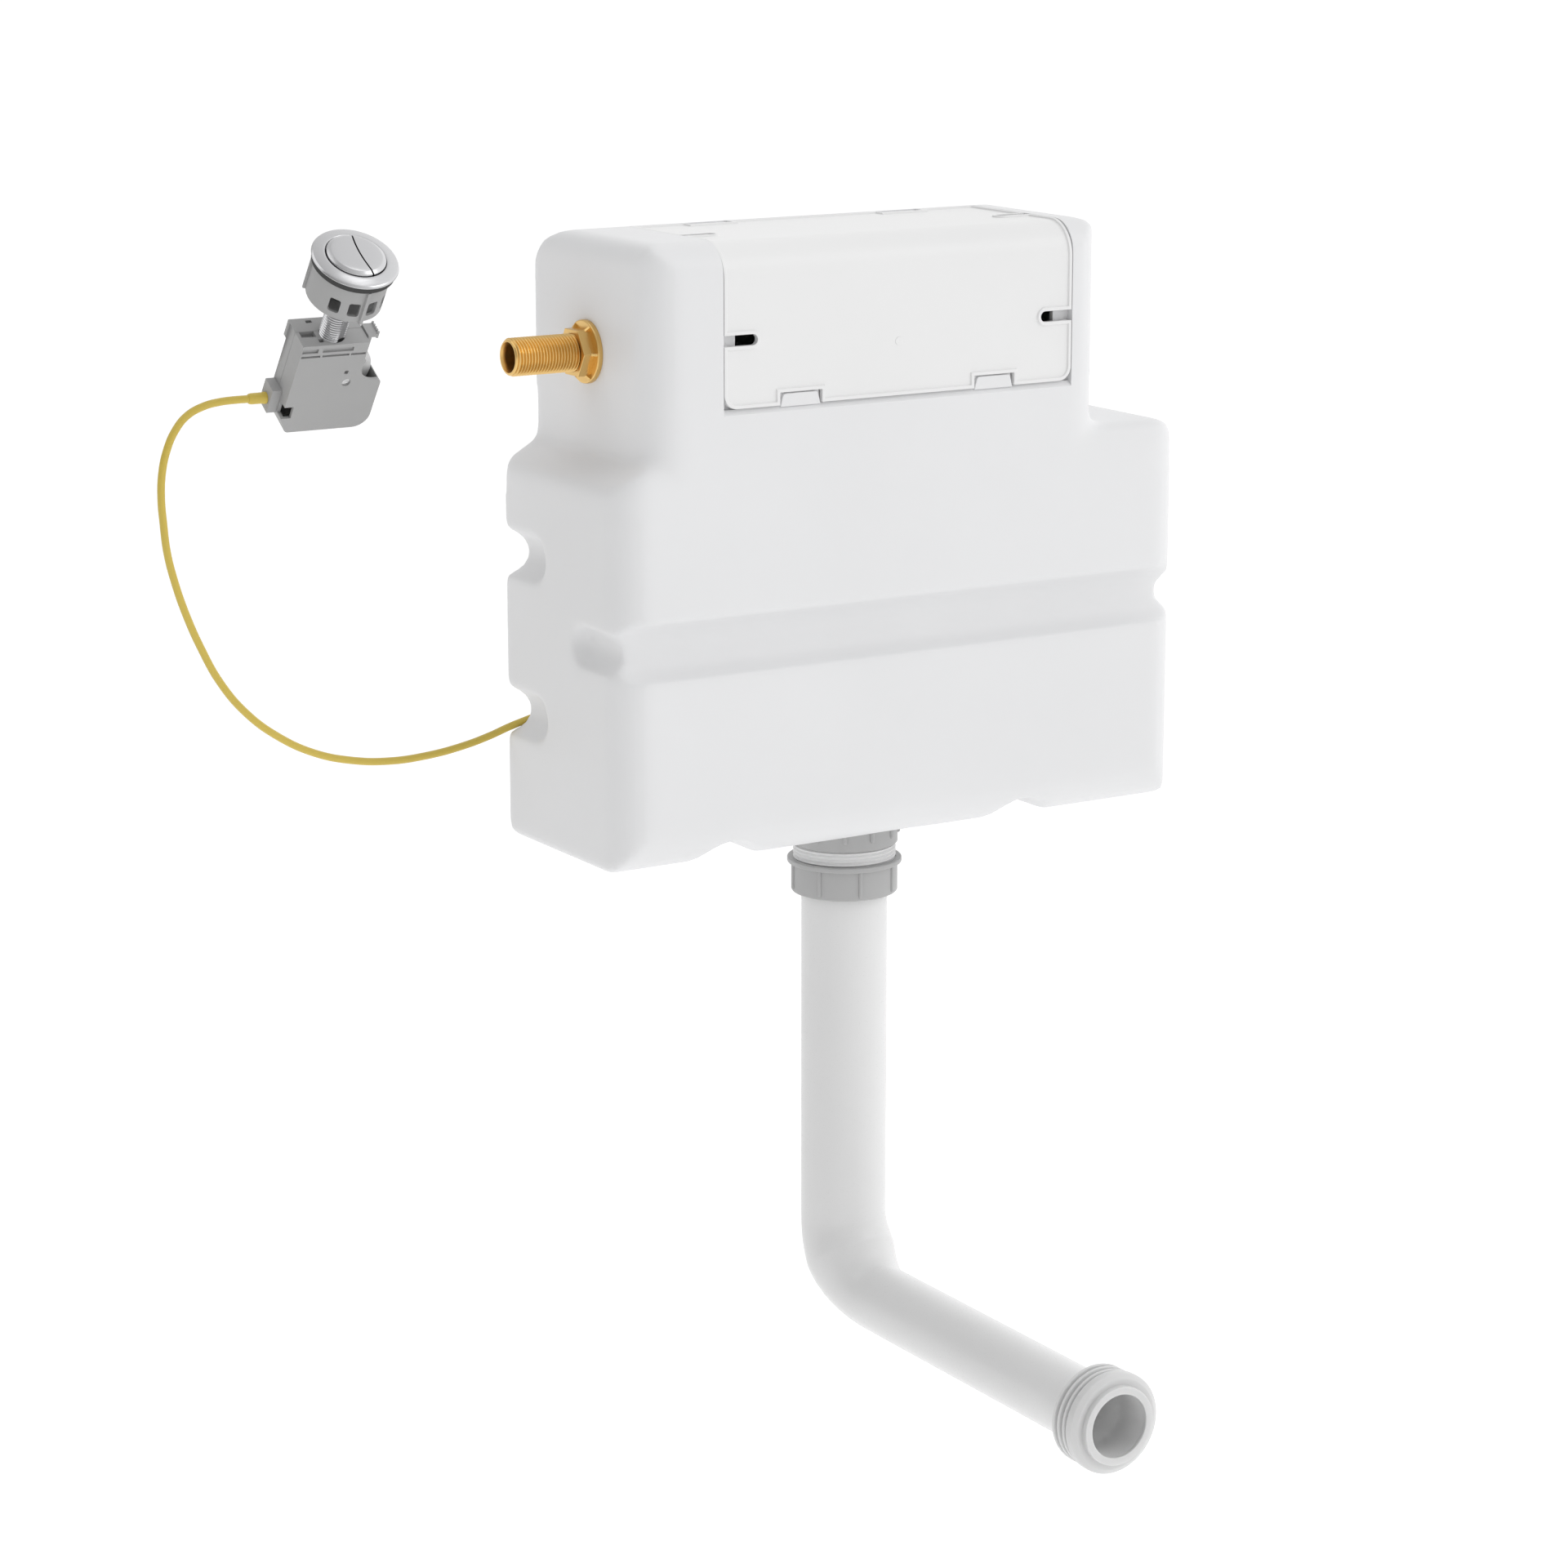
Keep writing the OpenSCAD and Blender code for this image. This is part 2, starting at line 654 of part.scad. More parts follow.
module tank_shell() {
    color("whitesmoke") from_base() {
        difference() {
            tank_form(0);
            difference() {
                tank_form(tank_wall);
                translate([0, -outlet_y, -base_drop])
                    cylinder(r = pocket_r + tank_wall, h = base_drop + tank_wall);
            }
            translate([0, -outlet_y, -base_drop - over])
                cylinder(r = pocket_r, h = base_drop - seat_t + over);
            translate([0, -outlet_y, -seat_t - over])
                cylinder(r = outlet_hole_r, h = seat_t + tank_wall + 2 * over);
            translate([upper_x0 - over, -outlet_y, inlet_z])
                rotate([0, 90, 0]) cylinder(r = inlet_hole_r, h = tank_wall + 2 * over);
            block([recess_x0, -tank_d - over, recess_z0], [recess_x1, recess_y1, tank_h + over]);
            translate([channel_x, -9, channel_top - over]) cylinder(r = 3.6, h = tank_wall + 2 * over);
            for (x = wall_hole_x)
                translate([x, over, wall_hole_z]) rotate([90, 0, 0])
                    cylinder(r = wall_hole_r, h = tank_wall + 2 * over);
        }
    }
}

// The bent ledge round the access opening, on which the cover lies
module recess_frame() {
    color("whitesmoke") from_base() {
        difference() {
            intersection() {
                block(
                    [recess_x0 + proud, -tank_d - over, recess_z0 + proud],
                    [recess_x1 - proud, recess_y1 - proud, tank_h + over]
                );
                behind_recess(0);
            }
            behind_recess(tank_wall);
            block(
                [recess_x0 + ledge_w, -tank_d - over, recess_z0 + ledge_w],
                [recess_x1 - ledge_w, recess_y1 - ledge_w, tank_h + over]
            );
        }
        cover_tabs();
    }
}

// Outline (y, z) of the cover's bent sheet, s in from its outside
function cover_outline(s, end) = rounded([
    [-tank_d + s, cover_z0 - end, 0], [-tank_d + s, tank_h - s, top_front_r - s],
    [cover_y1 + end, tank_h - s, 0], [cover_y1 + end, tank_h + over, 0],
    [-tank_d - over, tank_h + over, 0], [-tank_d - over, cover_z0 - end, 0]
]);

// A slot with round ends through both faces of the cover, along x
module cover_slots() {
    for (x = [cover_x0, cover_x1]) {
        along_y(-tank_d - over, -tank_d + recess_depth) translate([x, front_slot_z]) union() {
            square([2 * (slot_len - slot_w / 2), slot_w], center = true);
            for (s = [-1, 1]) translate([s * (slot_len - slot_w / 2), 0]) circle(slot_w / 2);
        }
        translate([x, top_slot_y, tank_h - recess_depth]) linear_extrude(recess_depth + over) union() {
            square([2 * (slot_len - slot_w / 2), slot_w], center = true);
            for (s = [-1, 1]) translate([s * (slot_len - slot_w / 2), 0]) circle(slot_w / 2);
        }
    }
    for (x = notch_x) {
        block(
            [x - notch_w / 2, -tank_d - over, cover_z0 - over],
            [x + notch_w / 2, -tank_d + recess_depth, cover_z0 + notch_h]
        );
        block(
            [x - notch_w / 2, cover_y1 - notch_h, tank_h - recess_depth],
            [x + notch_w / 2, cover_y1 + over, tank_h + over]
        );
    }
}

// The space under the cover, s in from its outside
module cover_inside(x0, x1, s) {
    along_x(x0, x1) polygon(rounded([
        [-tank_d + s, 0, 0], [over, 0, 0], [over, tank_h - s, 0], [-tank_d + s, tank_h - s, top_front_r - s]
    ]));
}

module access_cover() {
    color("white") from_base() difference() {
        intersection() {
            block([cover_x0, -tank_d, cover_z0], [cover_x1, cover_y1, tank_h]);
            along_x(cover_x0, cover_x1) polygon(rounded([
                [-tank_d, 0, 0], [0, 0, 0], [0, tank_h, 0], [-tank_d, tank_h, top_front_r]
            ]));
            along_y(-tank_d - over, 0) polygon(rounded([
                [cover_x0, cover_z0, 8], [cover_x1, cover_z0, 8],
                [cover_x1, tank_h + over, 0], [cover_x0, tank_h + over, 0]
            ]));
        }
        cover_inside(cover_x0 - over, cover_x1 + over, cover_seat);
        cover_inside(cover_x0 + cover_lip, cover_x1 - cover_lip, cover_skin);
        along_x(cover_x0 + bead_w, cover_x1 - bead_w) difference() {
            polygon(cover_outline(bead_h, over));
            translate([-tank_d - over, cover_z0 - 2 * over]) square([3 * over + bead_h, bead_w + 2 * over]);
            translate([cover_y1 - bead_w, tank_h - bead_h - over]) square([bead_w + 2 * over, 3 * over]);
        }
        cover_slots();
    }
}

module inlet_shank() {
    thread_end = inlet_len - 2;
    profile = concat(
        [[inlet_bore_d / 2, -(inlet_tail_x + inlet_spigot_l - upper_x0)],
         [inlet_spigot_r, -(inlet_tail_x + inlet_spigot_l - upper_x0)],
         [inlet_spigot_r, -(inlet_tail_x - upper_x0)],
         [inlet_collar_r, -(inlet_tail_x - upper_x0)],
         [inlet_collar_r, -(inlet_tail_x - inlet_collar_t - upper_x0)],
         [inlet_r - inlet_thread_depth, -(inlet_tail_x - inlet_collar_t - upper_x0)],
         [inlet_r - inlet_thread_depth, inlet_nut_t]],
        thread_outline(inlet_r, inlet_thread_depth, inlet_pitch, inlet_nut_t + 1, thread_end),
        [[inlet_r - inlet_thread_depth, inlet_len], [inlet_bore_d / 2, inlet_len]]
    );
    color("goldenrod") at_inlet() rotate_extrude() polygon(profile);
}

module inlet_back_nut() {
    hex_r = inlet_nut_af / 2 / cos(30);
    color("goldenrod") at_inlet() difference() {
        union() {
            cylinder(d = inlet_flange_d, h = inlet_flange_t);
            cylinder(r = hex_r, h = inlet_nut_t, $fn = 6);
            for (a = [0 : 60 : 300]) rotate(a)
                block([0, -0.8, 0], [inlet_flange_d / 2 - 0.6, 0.8, inlet_flange_t + 2]);
        }
        translate([0, 0, -over]) cylinder(r = inlet_r + fit_gap, h = inlet_nut_t + 2 * over);
    }
}

module inlet_washer() {
    color("dimgray") from_base() translate([inlet_in_x, -outlet_y, inlet_z]) rotate([0, 90, 0])
        ring(inlet_collar_r, inlet_r + fit_gap, 0, inlet_washer_t);
}

module fill_valve_body() {
    color("gainsboro") from_base() difference() {
        union() {
            translate([inlet_tail_x, -outlet_y, inlet_z]) rotate([0, 90, 0])
                cylinder(r = fill_barrel_r, h = fill_barrel_l);
            translate([fill_tube_x, -outlet_y, inlet_z - fill_boss_drop])
                cylinder(r = fill_boss_r, h = fill_boss_drop);
        }
        translate([inlet_tail_x - over, -outlet_y, inlet_z]) rotate([0, 90, 0])
            cylinder(r = inlet_spigot_r + fit_gap, h = inlet_spigot_l + over + fit_gap);
        translate([inlet_tail_x, -outlet_y, inlet_z]) rotate([0, 90, 0])
            cylinder(r = inlet_bore_d / 2 - 2, h = fill_barrel_l + over);
        translate([fill_tube_x, -outlet_y, inlet_z - fill_boss_drop - over])
            cylinder(r = fill_tube_r + fit_gap, h = fill_boss_drop + over);
    }
}

module fill_valve_cap() {
    end_x = fill_tail_x + diaphragm_t;
    color("lightgray") from_base() difference() {
        union() {
            translate([fill_tail_x - cap_wrap, -outlet_y, inlet_z]) rotate([0, 90, 0])
                cylinder(r = cap_r, h = cap_wrap + cap_t);
            for (s = [-1, 1]) along_y(
                -outlet_y + s * (ear_gap + ear_w) / 2 - ear_w / 2,
                -outlet_y + s * (ear_gap + ear_w) / 2 + ear_w / 2
            ) polygon(rounded([
                [fill_tail_x + cap_t - 0.5, inlet_z - cap_r + 6, 0],
                [fill_tail_x - cap_wrap + 0.5, inlet_z - cap_r + 3, 0],
                [pivot_x - 5, pivot_z - 4, 3], [pivot_x + 4, pivot_z - 4, 3], [pivot_x + 4, pivot_z + 4, 3]
            ]));
        }
        translate([fill_tail_x - cap_wrap - over, -outlet_y, inlet_z]) rotate([0, 90, 0])
            cylinder(r = fill_barrel_r + fit_gap, h = cap_wrap + diaphragm_t + over);
        translate([end_x, -outlet_y, inlet_z]) rotate([0, 90, 0]) cylinder(r = 1, h = cap_t);
        translate([pivot_x, -outlet_y + ear_gap, pivot_z]) rotate([90, 0, 0])
            cylinder(r = pivot_r + pin_gap, h = 2 * ear_gap);
    }
}

module fill_diaphragm() {
    color("dimgray") from_base() translate([fill_tail_x, -outlet_y, inlet_z]) rotate([0, 90, 0])
        cylinder(r = fill_barrel_r - fit_gap, h = diaphragm_t);
}

module fill_tube() {
    color("white") from_base() translate([fill_tube_x, -outlet_y, 0])
        ring(fill_tube_r, fill_tube_r - 1.2, tank_wall + 24, inlet_z - fill_boss_r);
}

module float_pin() {
    color("silver") from_base()
        translate([pivot_x, -outlet_y + ear_gap / 2 + ear_w, pivot_z]) rotate([90, 0, 0])
        cylinder(r = pivot_r, h = ear_gap + 2 * ear_w);
}

// The arm stands up in front of the cap, where its pad closes the pilot hole as the float rises
module float_arm() {
    cap_face = fill_tail_x + cap_t;
    color("white") from_base() difference() {
        union() {
            along_y(-outlet_y - arm_w / 2, -outlet_y + arm_w / 2) polygon(rounded([
                [pivot_x - 3.4, pivot_z - 3.4, 3], [rod_x, pivot_z - 3.4, 0], [rod_x, pivot_z + 3.4, 0],
                [pivot_x + 4.6, pivot_z + 3.4, 2], [pivot_x + 3.6, inlet_z + 2, 1], [pivot_x + 0.4, inlet_z + 2, 1]
            ]));
            translate([rod_x, -outlet_y, pivot_z - 5]) cylinder(r = rod_r + 2.6, h = 10);
            translate([cap_face + pad_gap, -outlet_y, inlet_z]) rotate([0, 90, 0])
                cylinder(r = 2, h = pivot_x + 2 - cap_face - pad_gap);
        }
        translate([pivot_x, -outlet_y + arm_w, pivot_z]) rotate([90, 0, 0])
            cylinder(r = pivot_r + pin_gap, h = 2 * arm_w);
        translate([rod_x, -outlet_y, pivot_z - 6]) cylinder(r = rod_r + fit_gap, h = 12);
    }
}

module float_rod() {
    color("white") from_base() translate([rod_x, -outlet_y, 0]) {
        translate([0, 0, float_z0 + 6]) cylinder(r = rod_r, h = pivot_z + 12 - float_z0 - 6);
        translate([0, 0, pivot_z + 5]) cylinder(r = rod_r + 1.6, h = 3);
    }
}

module float_cup() {
    color("gainsboro") from_base() translate([rod_x, -outlet_y, 0]) difference() {
        translate([0, 0, float_z0]) rotate_extrude() polygon([
            [0, 0], [float_d / 2 - 4, 0], [float_d / 2, 4],
            [float_d / 2, float_h - 4], [float_d / 2 - 4, float_h], [0, float_h]
        ]);
        translate([0, 0, float_z0 + 6 - fit_gap]) cylinder(r = rod_r + fit_gap, h = float_h);
    }
}

module flush_valve_base() {
    crest = thread_outline(outlet_r, 1.3, outlet_pitch, tail_z0 + 1, -seat_t);
    color("white") at_outlet() {
        rotate_extrude() polygon(concat(
            [[seat_r - 3, seat_z], [seat_r - 3, pipe_top_z + 2], [pipe_r + 0.4, pipe_top_z + 2],
             [pipe_r + 0.4, tail_z0], [outlet_r - 1.3, tail_z0]],
            crest,
            [[outlet_r - 1.3, -seat_t], [outlet_r - 1.3, base_z],
             [base_flange_r, base_z], [base_flange_r, flange_z],
             [seat_r + 2, flange_z], [seat_r, seat_z]]
        ));
    }
}

module outlet_gasket() {
    color("dimgray") at_outlet() ring(base_flange_r - 1, outlet_r + fit_gap, tank_wall, base_z);
}

// Ported foot, drum and guide tower in one moulding
module flush_basket() {
    inner = basket_r - basket_wall;
    drum_z = flange_z + basket_foot_h + port_h;
    color("lightsteelblue") at_outlet() {
        ring(basket_r, inner, flange_z, flange_z + basket_foot_h);
        for (a = [45 : 90 : 315]) rotate(a)
            block([inner + 0.2, -5, flange_z + basket_foot_h - over], [basket_r - 0.2, 5, drum_z + over]);
        ring(basket_r, inner, drum_z, basket_top);
        ring(basket_r, guide_r, basket_top - basket_wall, basket_top);
        ring(tower_r, guide_r, basket_top - over, tower_top);
    }
}

// Yoke on the tower that holds the end of the cable above the lift tube
module valve_head() {
    collar_r = tower_r + 3;
    arm_x = collar_r + arm_t;
    color("lightsteelblue") at_outlet() difference() {
        union() {
            ring(collar_r, tower_r + fit_gap, tower_top - 14, tower_top);
            for (s = [-1, 1]) block(
                [s > 0 ? collar_r - 1 : -arm_x, -arm_y / 2, tower_top - 14],
                [s > 0 ? arm_x : 1 - collar_r, arm_y / 2, bridge_z + bridge_t]
            );
            block([-arm_x, -arm_y / 2, bridge_z], [arm_x, arm_y / 2, bridge_z + bridge_t]);
        }
        translate([0, 0, bridge_z - over]) cylinder(r = end_ferrule_r + fit_gap, h = bridge_t + 2 * over);
    }
}

module lift_tube() {
    color("white") at_outlet() {
        ring(lift_r, lift_r - lift_wall, seal_z, overflow_z);
        ring(disc_r, lift_r - 0.5, seal_z + seal_t, seal_z + seal_t + disc_t);
    }
}

module flush_seal() {
    color("firebrick") at_outlet() ring(disc_r + 1, lift_r + fit_gap, seal_z, seal_z + seal_t);
}

module half_flush_float() {
    color("gainsboro") at_outlet()
        ring(half_float_r, lift_r + fit_gap, half_float_z, half_float_z + half_float_h);
}

module lift_hook() {
    color("lightsteelblue") at_outlet() difference() {
        union() {
            block([-lift_r, -4, overflow_z], [lift_r, 4, overflow_z + hook_bar_h]);
            translate([0, 0, overflow_z]) cylinder(r = hook_r, h = hook_h);
        }
        translate([0, 0, overflow_z + 3]) cylinder(r = wire_r + fit_gap, h = hook_h);
    }
}

module lift_wire() {
    color("silver") at_outlet() translate([0, 0, overflow_z + 3])
        cylinder(r = wire_r, h = end_ferrule_z0 + 1.5 - overflow_z - 3);
}

module cable_end_ferrule() {
    color("gold") at_outlet() difference() {
        union() {
            translate([0, 0, end_ferrule_z0])
                cylinder(r = end_ferrule_r, h = end_ferrule_z1 - end_ferrule_z0);
            translate([0, 0, bridge_z + bridge_t]) cylinder(r = end_ferrule_flange_r, h = 3);
        }
        translate([0, 0, end_ferrule_z0 - over])
            cylinder(r = wire_r + fit_gap, h = end_ferrule_z1 - end_ferrule_z0 - 0.5 + over);
    }
}

// A grey nut with ribs: height, flange height and reach
module ribbed_nut(h, flange_h, flange_reach, ribs) {
    cylinder(r = nut_r - 1, h = h);
    translate([0, 0, h - flange_h]) cylinder(r = nut_r + flange_reach, h = flange_h);
    for (a = [0 : 360 / ribs : 359]) rotate(a)
        block([nut_r - 2, -1.1, 2], [nut_r, 1.1, h - flange_h + over]);
}

module outlet_back_nut() {
    color("darkgray") at_outlet() difference() {
        translate([0, 0, back_nut_z]) ribbed_nut(back_nut_h, 4, 1.6, 16);
        translate([0, 0, back_nut_z - over]) cylinder(r = outlet_r + fit_gap, h = back_nut_h + 2 * over);
    }
}

module coupling_nut() {
    color("darkgray") at_outlet() difference() {
        translate([0, 0, coupling_z0]) ribbed_nut(coupling_nut_h, 3, 1.4, 12);
        translate([0, 0, coupling_z0 + coupling_lip])
            cylinder(r = outlet_r + fit_gap, h = coupling_nut_h);
        translate([0, 0, coupling_z0 - over]) cylinder(r = pipe_r + 0.6, h = coupling_nut_h);
    }
}

module pipe_seal() {
    color("dimgray") at_outlet()
        ring(outlet_r - 0.4, pipe_r + fit_gap, coupling_z0 + coupling_lip, tail_z0);
}

// Centre line and radius of the flush pipe: upright, tapering bend, level leg
function pipe_path() = concat(
    [[0, 0, pipe_top_z, pipe_r]],
    [for (k = [0 : 10]) let (a = 9 * k)
        [0, -bend_r * (1 - cos(a)), -pipe_drop + bend_r * (1 - sin(a)),
         pipe_r + (leg_r - pipe_r) * (1 - cos(2 * a)) / 2]],
    [[0, -pipe_reach, -pipe_drop, leg_r]]
);

// The pipe's skin, set in by i and lengthened by e at both ends
module pipe_skin(i, e) {
    sides = 32;
    p = pipe_path();
    n = len(p);
    points = [for (q = [0 : n - 1], j = [0 : sides - 1])
        let (bend = q <= 1 ? 0 : q >= n - 2 ? 90 : 9 * (q - 1), t = -360 * j / sides, r = p[q][3] - i)
        let (end = q == 0 ? [0, 0, e] : q == n - 1 ? [0, -e, 0] : [0, 0, 0])
        [p[q][0], p[q][1], p[q][2]] + end
            + r * (cos(t) * [1, 0, 0] + sin(t) * [0, -cos(bend), sin(bend)])];
    polyhedron(points, tube_faces(n, sides));
}

module flush_pipe() {
    color("white") at_outlet() difference() {
        pipe_skin(0, 0);
        pipe_skin(pipe_wall, over);
    }
}

// Finned rubber seal over the end of the level leg
module pan_seal() {
    r = pan_seal_d / 2;
    root = leg_r + 4.6;
    fin = 2.6;
    pitch = 4.6;
    lip = 2.4;
    fins = [for (k = [0 : 2], q = [[0, 0], [0, 1], [fin, 1], [fin + 0.4, 0]])
        [root + (r - 0.6 - root) * q[1], pitch * k + q[0]]];
    color("white") at_outlet()
        translate([0, -pipe_reach - lip + pan_seal_l, -pipe_drop]) rotate([90, 0, 0])
        rotate_extrude() polygon(concat(
            [[leg_r + fit_gap, 0]], fins,
            [[root, 3 * pitch], [r, 3 * pitch], [r, pan_seal_l - 5.5], [r - 3, pan_seal_l - 3.6],
             [leg_r + 2.2, pan_seal_l - 3.6], [leg_r + 2.2, pan_seal_l], [leg_r - pipe_wall, pan_seal_l],
             [leg_r - pipe_wall, pan_seal_l - lip], [leg_r + fit_gap, pan_seal_l - lip]]
        ));
}

module bezel() {
    color("silver") at_button() rotate_extrude() polygon([
        [bezel_hole_r, 0], [bezel_r - 5.5, 0], [bezel_r - 0.8, -1.2], [bezel_r, -2.2], [bezel_r, -bezel_t],
        [skirt_r, -bezel_t], [skirt_r, gasket_z - 8], [bezel_hole_r, gasket_z - 8]
    ]);
}

module panel_gasket() {
    color("black") at_button() ring(bezel_r - 1, skirt_r + fit_gap, gasket_z, -bezel_t);
}

// Grey cup with a ring of windows and four upright fins
module button_cup() {
    window_z = cup_z + 8.5;
    wall_r = cup_r - cup_wall;
    color("darkgray") at_button() rotate(fin_turn) {
        translate([0, 0, cup_z]) difference() {
            cylinder(r = cup_r, h = window_z - 4 - cup_z);
            translate([0, 0, cup_floor]) cylinder(r = wall_r, h = cup_h);
            translate([0, 0, -over]) cylinder(r = stem_r + fit_gap, h = cup_floor + 2 * over);
        }
        translate([0, 0, window_z + 4]) difference() {
            cylinder(r = cup_r, h = gasket_z - window_z - 4);
            translate([0, 0, -over]) cylinder(r = wall_r, h = cup_h);
        }
        // uprights between the windows
        for (k = [0 : 7]) rotate(45 * k)
            block([wall_r + 0.25, -4.2, window_z - 4.6], [cup_r - 0.45, 4.2, window_z + 4.6]);
        // outer fins on every other upright
        for (k = [0 : 3]) rotate(45 + 90 * k)
            block([cup_r - 0.9, -1, cup_z + 0.6], [cup_r + fin_reach, 1, gasket_z - 0.6]);
    }
}

module push_plate() {
    rotate_extrude() polygon([
        [0, plate_under], [button_r, plate_under], [button_r, 0.6],
        [button_r - 1.6, 1.6], [6, plate_top - 0.1], [0, plate_top]
    ]);
}

module full_button() {
    color("silver") at_button() difference() {
        push_plate();
        translate([split_x + split_r, 0, plate_under - over])
            cylinder(r = split_r + button_gap / 2, h = plate_top - plate_under + 2 * over, $fn = 96);
    }
}

module half_button() {
    color("silver") at_button() intersection() {
        push_plate();
        translate([split_x + split_r, 0, plate_under - over])
            cylinder(r = split_r - button_gap / 2, h = plate_top - plate_under + 2 * over, $fn = 96);
    }
}

// A push rod from the underside of its plate down to its lever
module push_rod(place, z0) {
    translate([place[0], place[1], z0]) cylinder(r = rod_size, h = plate_under - z0);
}

module full_push_rod() {
    color("dimgray") at_button() push_rod(full_rod, full_rod_z);
}

module half_push_rod() {
    color("dimgray") at_button() push_rod(half_rod, half_rod_z);
}

// A coil spring between the cup's floor and a push plate
module return_spring(x) {
    z0 = cup_z + cup_floor + spring_wire_r;
    rise = plate_under - spring_wire_r - z0;
    steps = spring_curls * 8;
    path = [for (k = [0 : steps]) let (a = 45 * k)
        [x + spring_coil_r * cos(a), spring_coil_r * sin(a), z0 + rise * k / steps]];
    between = [for (i = [0 : steps - 5], j = [i + 5 : steps]) norm(path[i] - path[j])];
    echo(least_gap_between_curls = min(between) - 2 * spring_wire_r);
    swept_tube(path, spring_wire_r, 6, [1, 0, 0]);
}

module full_spring() {
    color("silver") at_button() return_spring(-spring_x);
}

module half_spring() {
    color("silver") at_button() return_spring(spring_x);
}

// Hollow threaded stem that joins the cup to the actuator
module threaded_stem() {
    crest = thread_outline(stem_r, 0.6, stem_pitch, stem_z0 + 1, cup_z - 0.5);
    color("silver") at_button() rotate_extrude() polygon(concat(
        [[stem_bore_r, cup_z + cup_floor + stem_flange_t], [stem_bore_r, stem_z0], [stem_r - 0.6, stem_z0]],
        crest,
        [[stem_r - 0.6, cup_z - 0.5], [stem_r - 0.6, cup_z], [stem_r, cup_z], [stem_r, cup_z + cup_floor],
         [stem_flange_r, cup_z + cup_floor], [stem_flange_r, cup_z + cup_floor + stem_flange_t]]
    ));
}

// Front outline of the actuator's case
function case_outline() = rounded([
    [case_x0, case_z1, 0], [case_x0, case_z0 + 9.5, 2], [case_x0 + 4.6, case_z0, 3], [foot_x1, case_z0, 9],
    [foot_x1, cutout[1] - cutout[2] - 1, 3], [cutout[0], cutout[1] - cutout[2] - 1, 0],
    [case_x1, cutout[1], 0],
    [case_x1, case_z1, 0]
]);

// Solid of the case between two depths, less its hollow and the round cut-out
module case_half(y0, y1, hollow0, hollow1) {
    difference() {
        union() {
            along_y(y0, y1) polygon(case_outline());
            along_y(y0, y1) polygon([
                [case_x1 - 1, case_z1 - head_h], [case_x1 - 1, case_z0 + 20], [foot_x1 - 4, case_z0 + 20],
                [foot_x1 - 4, cutout[1] - cutout[2] - 1], [cutout[0], cutout[1] - 1], [case_x1, cutout[1]]
            ]);
        }
        translate([cutout[0], y1 + over, cutout[1]]) rotate([90, 0, 0])
            cylinder(r = cutout[2], h = y1 - y0 + 2 * over);
        block(
            [case_x0 + case_wall, hollow0, case_z0 + case_wall],
            [foot_x1 - case_wall, hollow1, case_z1 - case_top_t]
        );
        translate([0, 0, stem_z0 - over]) cylinder(r = stem_r + fit_gap, h = case_z1 - stem_z0 + 2 * over);
        translate([anchor_x0, wire_y, wire_z]) rotate([0, 90, 0])
            cylinder(r = wire_r + fit_gap, h = case_x0 + case_wall - anchor_x0 + over);
    }
}

module actuator_case() {
    front = case_y0 - over;
    slot_y = case_y0 + case_wall - 0.6;
    color("darkgray") at_button() difference() {
        union() {
            case_half(case_y0, seam_y, case_y0 + case_wall, seam_y + over);
            block([anchor_x0, wire_y - 5, wire_z - 6.5], [case_x0 + 0.5, seam_y, wire_z + 9]);
            block([anchor_x0, wire_y - 5, wire_z - 6.5], [case_x0 - fit_gap, wire_y + 5.5, wire_z + 9]);
        }
        translate([pivot[0], seam_y, pivot[1]]) rotate([90, 0, 0])
            cylinder(r = lever_pin_r + pin_gap, h = seam_y - case_y0 + over);
        translate([pivot[0] - 1.9, seam_y, pivot[1] + 7.5]) rotate([90, 0, 0])
            cylinder(r = 1.3, h = seam_y - case_y0 + over);
        block([case_x0 - over, front, wire_z - 5], [case_x0 + 5.4, case_y0 + 6, wire_z + 3]);
        for (x = [[0.4, 9.8], [12.4, 30.5]])
            block([case_x0 + x[0], front, case_z1 - 5.2], [case_x0 + x[1], slot_y, case_z1 - 2.4]);
        for (x = [[0.6, 11.8], [13, 28.8], [29.8, 38.4]])
            block([case_x0 + x[0], front, case_z1 - 8.4], [case_x0 + x[1], slot_y, case_z1 - 7]);
        block([case_x0 + 2, -1.5, case_z1 - 3], [case_x0 + 10.5, 5.4, case_z1 + over]);
        block([case_x0 + 10.5, -6, case_z1 - 3], [case_x0 + 13.5, -3.4, case_z1 + over]);
        block(
            [case_x1 - 13, -5.5, case_z1 - case_top_t - 2.5],
            [case_x1 + over, 2.5, case_z1 - case_top_t + over / 2]
        );
        translate([anchor_x0 - over, wire_y, wire_z]) rotate([0, 90, 0])
            cylinder(r = ferrule_r - 1 + fit_gap, h = 5);
        translate([anchor_x0, wire_y, wire_z]) rotate([0, 90, 0])
            cylinder(r = wire_r + fit_gap, h = case_x0 + case_wall - anchor_x0 + over);
    }
}

module actuator_cover() {
    boss_r = lever_pin_r + 2;
    color("darkgray") at_button() difference() {
        union() {
            case_half(seam_y + fit_gap, case_y1, seam_y, case_y1 - case_wall);
            block([case_x0, case_y1 - over, case_z1 - head_h], [case_x1, head_y1, case_z1]);
            translate([pivot[0], case_y1 - over, pivot[1]]) rotate([90, 0, 0])
                cylinder(r = boss_r, h = case_y1 - over - drum_y1 - move_gap);
        }
        translate([pivot[0], case_y1 - case_wall, pivot[1]]) rotate([90, 0, 0])
            cylinder(r = lever_pin_r + pin_gap, h = case_d);
        block([case_x0 + 9, head_y1 - 4, case_z1 - 4], [case_x0 + 12.5, head_y1 - 2, case_z1 + over]);
    }
}

